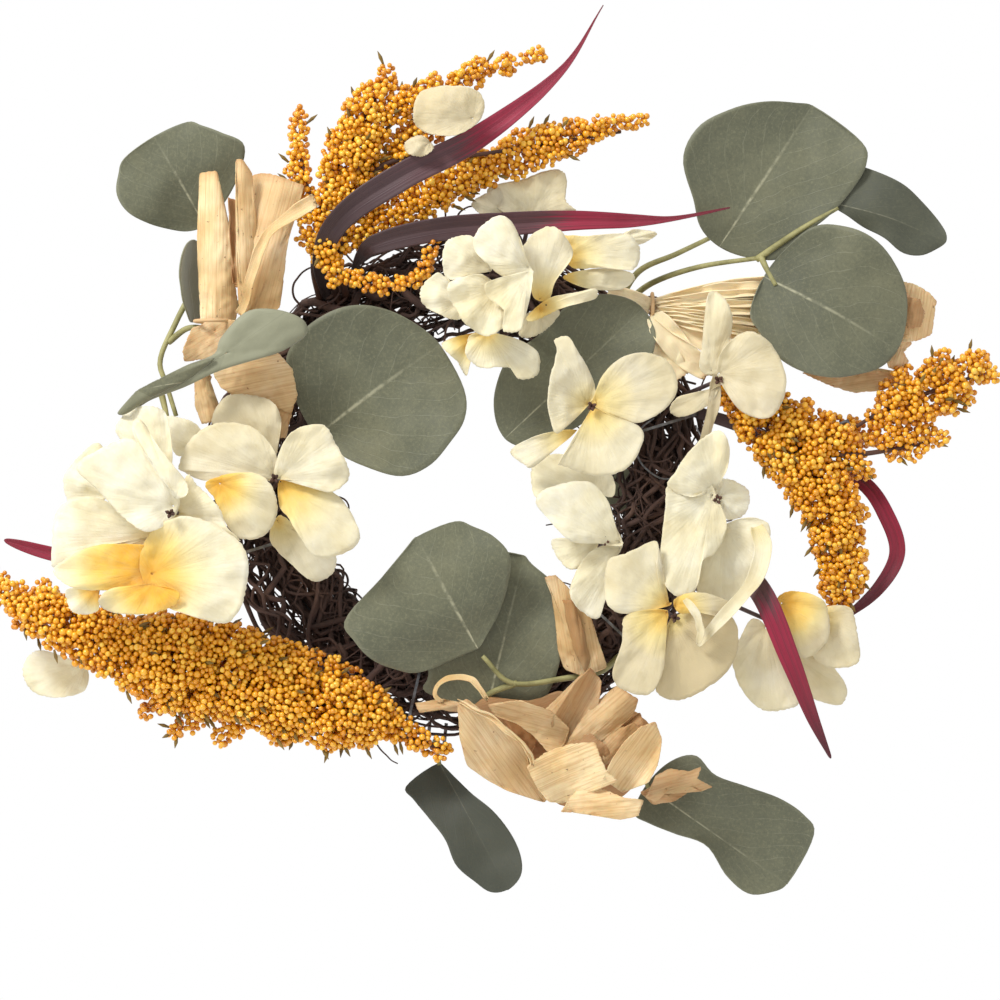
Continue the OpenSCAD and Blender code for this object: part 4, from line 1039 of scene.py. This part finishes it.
husk_finish = husk_paper()
# Each piece: outline, the place where it is held, how far out its held end and its rim are, a shade number
# (painted shade) and the way of its grain
HUSK_PIECES = {
    "husk_1": [
        ([(-116, 138), (-108, 139), (-106, 130), (-102, 112), (-100, 89), (-99, 80), (-100, 71), (-115, 69),
          (-116, 86), (-117, 111)], (-108, 68), 60, 55, 0, 90),
        ([(-99, 143), (-96, 143), (-92, 137), (-90, 111), (-93, 90), (-96, 75), (-98, 80), (-99, 107)],
         (-96, 73), 63, 66, 0.2, 92),
        ([(-93, 137), (-86, 138), (-69, 132), (-76, 109), (-80, 78), (-88, 73), (-96, 75), (-93, 90),
          (-91, 111)], (-93, 73), 64, 60, 0.25, 76),
        # a narrow strip painted dark, standing in for the shadow in the gap between strips
        ([(-103, 127), (-99, 126), (-98, 89), (-101, 89)], (-99, 87), 60, 54, 0.8, 90),
        ([(-109, 49), (-93, 56), (-80, 58), (-74, 51), (-72, 39), (-75, 31), (-85, 36), (-100, 39),
          (-106, 43)], (-97, 59), 66, 64, 0.3, 12),
        ([(-77, 39), (-75, 31), (-78, 21), (-85, 21), (-84, 32)], (-76, 37), 62, 56, 0.5, 60),
        ([(-118, 47), (-110, 48), (-113, 41), (-107, 35), (-109, 28), (-115, 27), (-118, 35)], (-112, 50),
         60, 54, 0.25, 100),
        ([(-122, 58), (-118, 69), (-108, 73), (-98, 72), (-99, 64), (-100, 56), (-113, 55), (-121, 54)],
         (-108, 68), 64, 72, 0.35, 30),
    ],
    "husk_3": [
        # a backing piece painted dark, which stands in for the shadow inside the bow
        ([(0, -101), (10, -93), (30, -95), (43, -90), (61, -95), (78, -100), (85, -108), (83, -125),
          (71, -138), (48, -143), (30, -136), (12, -125)], (43, -119), 50, 55, 0.85, 20),
        ([(36, -40), (41, -39), (48, -46), (53, -50), (56, -56), (60, -68), (64, -80), (56, -83), (45, -81),
          (42, -72), (41, -59), (39, -46)], (54, -84), 58, 58, 0.3, 100),
        ([(44, -50), (49, -50), (55, -68), (57, -77), (52, -74), (47, -68)], (54, -82), 59, 62, 0.75, 100),
        ([(37, -115), (40, -100), (50, -85), (56, -79), (61, -85), (60, -96), (53, -109), (44, -117)],
         (44, -117), 60, 70, 0.6, 60),
        ([(43, -116), (56, -97), (68, -87), (77, -93), (75, -100), (63, -111), (52, -118)], (48, -119), 64,
         74, 0.35, 42),
        ([(49, -119), (65, -109), (78, -99), (80, -106), (72, -114), (60, -122)], (54, -122), 66, 70, 0.7,
         36),
        # painted dark: stands in for the shadow in an opening between pieces
        ([(28, -106), (41, -94), (53, -82), (57, -90), (48, -99), (36, -111)], (34, -113), 60, 64, 0.45, 48),
        ([(17, -100), (25, -103), (33, -111), (31, -118), (23, -112)], (30, -117), 60, 62, 1, -30),
        ([(11, -95), (25, -93), (39, -98), (47, -106), (44, -114), (38, -117), (31, -109), (23, -103),
          (14, -100)], (46, -112), 64, 76, 0.3, -15),
        ([(-2, -95), (2, -92), (7, -96), (13, -101), (20, -105), (27, -112), (29, -122), (33, -130),
          (38, -138), (30, -137), (19, -133), (10, -128), (2, -122), (-1, -109)], (36, -139), 60, 82, 0.3,
          -55),
        ([(45, -113), (56, -108), (63, -113), (66, -120), (62, -123), (58, -114)], (60, -123), 66, 72, 0.8,
         40),
        ([(28, -122), (36, -116), (47, -112), (58, -111), (60, -117), (63, -124), (68, -128), (60, -131),
          (51, -135), (45, -138), (38, -138), (33, -132)], (44, -139), 66, 82, 0, 24),
        ([(59, -114), (66, -107), (75, -103), (78, -106), (71, -113), (64, -121)], (63, -122), 68, 74, 0.55,
         48),
        ([(61, -127), (65, -119), (70, -111), (77, -104), (84, -102), (87, -110), (85, -121), (81, -129),
          (73, -132), (66, -130)], (70, -134), 68, 84, 0.05, 56),
        ([(43, -142), (47, -136), (53, -130), (62, -132), (70, -135), (79, -136), (77, -143), (69, -145),
          (56, -143)], (48, -142), 72, 82, 0.12, 8),
        ([(80, -136), (85, -127), (91, -124), (100, -125), (105, -123), (103, -128), (110, -132),
          (105, -134), (98, -130), (91, -132), (85, -139)], (82, -135), 68, 66, 0.55, 15),
        ([(78, -134), (85, -131), (91, -136), (100, -134), (94, -138), (84, -140)], (80, -136), 66, 63, 0.7,
         -5),
        ([(-21, -96), (-10, -94), (0, -95), (-1, -100), (-12, -98), (-19, -100)], (0, -97), 60, 56, 0.5, 5),
    ],
    "husk_2": [
        ([(191, 91), (200, 89), (206, 86), (210, 82), (209, 74), (208, 67), (201, 64), (194, 63),
          (192, 71)], (190, 74), 50, 53, 0.0, 80),
        ([(195, 83), (201, 82), (204, 76), (202, 70), (196, 69)], (192, 74), 58, 60, 0.7, 80),
        ([(196, 67), (199, 63), (195, 59), (198, 55), (194, 50), (188, 52), (186, 59)], (190, 60), 50, 54,
         0.15, 70),
        ([(150, 50), (165, 48), (181, 51), (196, 50), (193, 45), (185, 42), (173, 41), (163, 44)],
         (172, 54), 46, 48, 0.15, 8),
    ],
}
FAN = [([(84, 80 - 0.3 * k, 52 + k % 2), (104, 85 - 1.3 * k, 54 + k % 3),
         (132, 89 - 2.3 * k, 52 + 1.5 * (k % 2)),
         (172, 92 - 3.1 * k, 49 + k % 2)], (1.5, 3.6, 4.4, 5, 4.5), 55 + 12 * (k % 3),
         14 * (-1) ** k) for k in range(11)]
FAN += [([(84, 77, 53), (96, 70, 54), (112, 61, 53), (128, 54, 50)], (2, 5, 6, 4), 50, -12),
        ([(84, 76, 54), (90, 68, 55), (98, 58, 54), (110, 50, 52)], (2, 6, 6, 4), 40, 10),
        ([(84, 76, 52), (87, 68, 53), (90, 58, 53), (97, 47, 52)], (2, 5, 6, 5), 40, -10),
        ([(64, 84, 44), (72, 82, 47), (84, 79, 50)], (5, 6, 3), 40, 0)]
LOOPS = [([(12, -94, 70), (4, -84, 66), (-6, -85, 62), (-11, -91, 60), (-8, -95, 60)], (1.6, 1.6, 1.4, 1.2),
          30, 50),
         ([(-2, -93, 81), (8, -97, 84), (20, -105, 85), (29, -114, 83), (31, -122, 81)],
          (1, 1.8, 2, 1.6, 0.6), 110, 40),
         ([(-62, 125, 67), (-75, 117, 70), (-84, 110, 70), (-90, 96, 69), (-95, 80, 68), (-98, 74, 66)],
          (2.5, 3.5, 3, 2.5, 2.5, 2), 50, 20)]
HUSK_STRIPS = {"husk_1": LOOPS[2:], "husk_2": FAN, "husk_3": LOOPS[:2]}
for number, name in enumerate(("husk_1", "husk_2", "husk_3")):
    grids = [patch(outline, held, low, high, bow=1.0, pleat=0.6, ruffle=0.9, droop=0.0, crumple=1.4,
                   grain=8, ragged=0.5,
                   seed=200 + number * 20 + k, rows=24, cols=110, shade=shade, grain_way=way,
                   gutter=5.5 * (-1) ** (k % 5 == 3))
             for k, (outline, held, low, high, shade, way) in enumerate(HUSK_PIECES.get(name, ()))]
    # painted light: husk_2's fan strips get tint 0.8, which paints them paler
    grids += [strip(path, widths, widths, roll=roll, bend=gutter, ruffle=1.0, waves=2, crumple=1.8, grain=12,
                    ragged=1.0, rows=36, cols=15, seed=100 + number * 20 + k,
                    tint=0.8 if name == "husk_2" else 0.0)
              for k, (path, widths, gutter, roll) in enumerate(HUSK_STRIPS[name])]
    thicken(build(name + "_strips", grids, husk_finish, "wreath", (name,)), 0.4)
for name in ("husk_tie_1", "husk_tie_2"):
    frame["nodes"][name].data.materials.clear()
    frame["nodes"][name].data.materials.append(husk_finish)
print("husk pieces:", sum(len(s) for s in HUSK_PIECES.values()) + len(FAN) + len(LOOPS))

# %% [markdown]
# ## The twig ring
# The ring is a few dozen thin vine twigs laid round and round, twisting about each other
# as they go. Each twig is a thin tube that travels round the ring while it circles slowly
# inside the bundle. A few fine tendrils are left to curl out of it.

# %% Bark finish and twigs
def bark():
    f = Finish("dry_bark", Roughness=0.85)
    place = f.place()
    tone = f.ramp(f.noise(place, 70, 4), [(0.3, srgb(46, 31, 26)), (0.55, srgb(76, 54, 46)),
                                          (0.75, srgb(114, 86, 70))])
    peel = f.noise(f.lay(60, 3), 1.5, 3)
    f.colour(f.mix(f.math("MULTIPLY", peel, 0.4), tone, srgb(96, 74, 66)))
    f.bump(peel, 0.7, 0.6)
    return f.material


bark_finish = bark()
rnd = random.Random(7)
ring_r, half_w, half_d, ring_lift = 90.0, 21.5, 17.0, 24.0
twig_count, outer_twigs = 190, 130
TWIGS = []
for k in range(twig_count):
    start, sweep = rnd.random() * 2 * math.pi, math.radians(rnd.uniform(60, 300))
    depth = rnd.random() ** (0.35 if k < outer_twigs else 1.2)
    turn, spin = rnd.random() * 2 * math.pi, rnd.uniform(-2.4, 2.4)
    count = int(math.degrees(sweep) / 4)
    pts = []
    for i in range(count):
        a = start + sweep * i / count
        slow = noise.noise(Vector((3 * math.cos(a), 3 * math.sin(a), k * 1.7)))
        fast = noise.noise(Vector((9 * math.cos(a), 9 * math.sin(a), k * 2.3 + 50)))
        w = turn + spin * sweep * i / count + 1.2 * fast
        r = depth * (1 + 0.34 * slow + 0.22 * fast)
        pts.append([(ring_r + r * half_w * math.cos(w)) * math.cos(a),
                    (ring_r + r * half_w * math.cos(w)) * math.sin(a),
                    ring_lift + r * half_d * math.sin(w)])
    thick = rnd.choice([0.4, 0.5, 0.6, 0.8, 1.0, 1.3]) if k < 150 else rnd.choice([1.2, 1.6, 2.0])
    TWIGS.append(tube(pts, [thick * 0.5, thick, thick, thick, thick * 0.4], count * 2, 6, rnd.random()))
build("twig_ring_twigs", TWIGS, bark_finish, "wreath", ("twig_ring",))
TENDRILS = []
for k in range(240):
    a = rnd.random() * 2 * math.pi
    inward = rnd.random() < 0.5
    r0 = ring_r + (-1 if inward else 1) * rnd.uniform(8, 19)
    p = np.array([r0 * math.cos(a), r0 * math.sin(a), rnd.uniform(14, 42)])
    heading, bend = a + math.pi / 2 * rnd.choice([-1, 1]) + rnd.uniform(-0.9, 0.9), rnd.uniform(-0.6, 0.6)
    pts = [p.copy()]
    for i in range(rnd.randint(6, 14)):
        heading += bend
        bend += rnd.uniform(-0.35, 0.35)
        p = p + [3.2 * math.cos(heading), 3.2 * math.sin(heading), rnd.uniform(-1.2, 1.2)]
        p[2] = min(46, max(6, p[2]))
        pts.append(p.copy())
    TENDRILS.append(tube(pts, [0.6, 0.5, 0.3], len(pts) * 4, 5, rnd.random()))
build("twig_ring_tendrils", TENDRILS, bark_finish, "wreath")
print("twigs:", len(TWIGS), "tendrils:", len(TENDRILS))

# %% [markdown]
# ## Wires
# The bindings, the hanging loop and the staples are dull grey wire, and their solids are
# already the right shape, so they only get a finish.

# %% Wire finish
def dull_wire():
    f = Finish("dull_wire", Metallic=0.9, Roughness=0.42)
    f.colour(f.ramp(f.noise(f.place(), 300, 3), [(0.35, srgb(92, 92, 94)), (0.7, srgb(140, 140, 142))]))
    f.bump(f.noise(f.place(), 2500, 2), 0.2, 0.1)
    return f.material


wire_finish = dull_wire()
for name in ("frame_wire", "binding_wires", "hanger_eye", "hanger_loop", "posing_staples"):
    frame["nodes"][name].data.materials.clear()
    frame["nodes"][name].data.materials.append(wire_finish)


LOOSE_WIRE = [(85, 30, 44), (79, 25, 46), (77, 16, 47), (81, 8, 46), (90, 3, 45), (101, 7, 44),
              (107, 18, 40), (104, 27, 36)]
build("loose_wire", [tube(LOOSE_WIRE, [0.45], 60, 8)], wire_finish, "wreath")


def hinge_stem(name, angle, base):
    a = math.radians(angle)
    out = np.array([math.cos(a), math.sin(a), 0])
    across = np.array([math.sin(a), -math.cos(a), 0])
    pivot = out * (ring_r + 27) + [0, 0, ring_lift]
    ring = [pivot + (out * math.cos(t) + np.array([0, 0,
                                                   1]) * math.sin(t)) * 1.9 + across * 1.6 * (t / 6.3 - 1)
            for t in np.linspace(0, 4 * math.pi, 25)]
    stalk = flow([pivot + out * 1.9, (pivot + base) / 2 + [0, 0, 1], base], 10)
    build(name + "_stalk", [tube(ring, [0.75], 60, 8), tube(stalk, [0.8, 1.0, 0.9], 16, 8)], khaki_finish,
          name)


hinge_stem("leaf_11", -96, np.array([-10.4, -125, 32.5]))
hinge_stem("leaf_12", -56, np.array([83, -135, 34.5]))
print("wired stems: 2")

# %% [markdown]
# ## Light and floor
# Soft daylight comes from every side, with one large lamp above and to the left to model
# the petals, over a plain pale floor.

# %% Light and floor
world = bpy.data.worlds.new("studio")
bpy.context.scene.world = world
world.use_nodes = True
around = world.node_tree.nodes["Background"]
around.inputs[0].default_value = (1, 1, 1, 1)
around.inputs[1].default_value = 0.84
behind = world.node_tree.nodes.new("ShaderNodeBackground")
behind.inputs[0].default_value = (1, 1, 1, 1)
choose = world.node_tree.nodes.new("ShaderNodeMixShader")
seen = world.node_tree.nodes.new("ShaderNodeLightPath")
world.node_tree.links.new(seen.outputs["Is Camera Ray"], choose.inputs[0])
world.node_tree.links.new(around.outputs[0], choose.inputs[1])
world.node_tree.links.new(behind.outputs[0], choose.inputs[2])
world.node_tree.links.new(choose.outputs[0], world.node_tree.nodes["World Output"].inputs[0])


def lamp(name, place, size, power, target):
    data = bpy.data.lights.new(name, "AREA")
    data.size, data.energy = size, power
    obj = bpy.data.objects.new(name, data)
    obj.location = place
    obj.rotation_euler = (Vector(target) - Vector(place)).to_track_quat("-Z", "Y").to_euler()
    bpy.context.scene.collection.objects.link(obj)


lamp("key", (-0.8, -0.9, 0.9), 0.4, 20, (0, 0, ring_mid.z))
floor = bpy.data.meshes.new("floor")
floor.from_pydata([(-0.4, -0.3, 0), (0.4, -0.3, 0), (0.4, 0.1, 0), (-0.4, 0.1, 0)], [], [(0, 1, 2, 3)])
floor_obj = bpy.data.objects.new("floor", floor)
floor_obj.location.z = cad_box[0].z - 0.09
bpy.context.scene.collection.objects.link(floor_obj)
floor_finish = Finish("floor_white", Roughness=0.9)
floor_finish.shader.inputs["Base Color"].default_value = (0.9, 0.9, 0.9, 1)
floor.materials.append(floor_finish.material)
bpy.context.scene.view_settings.view_transform = "Standard"
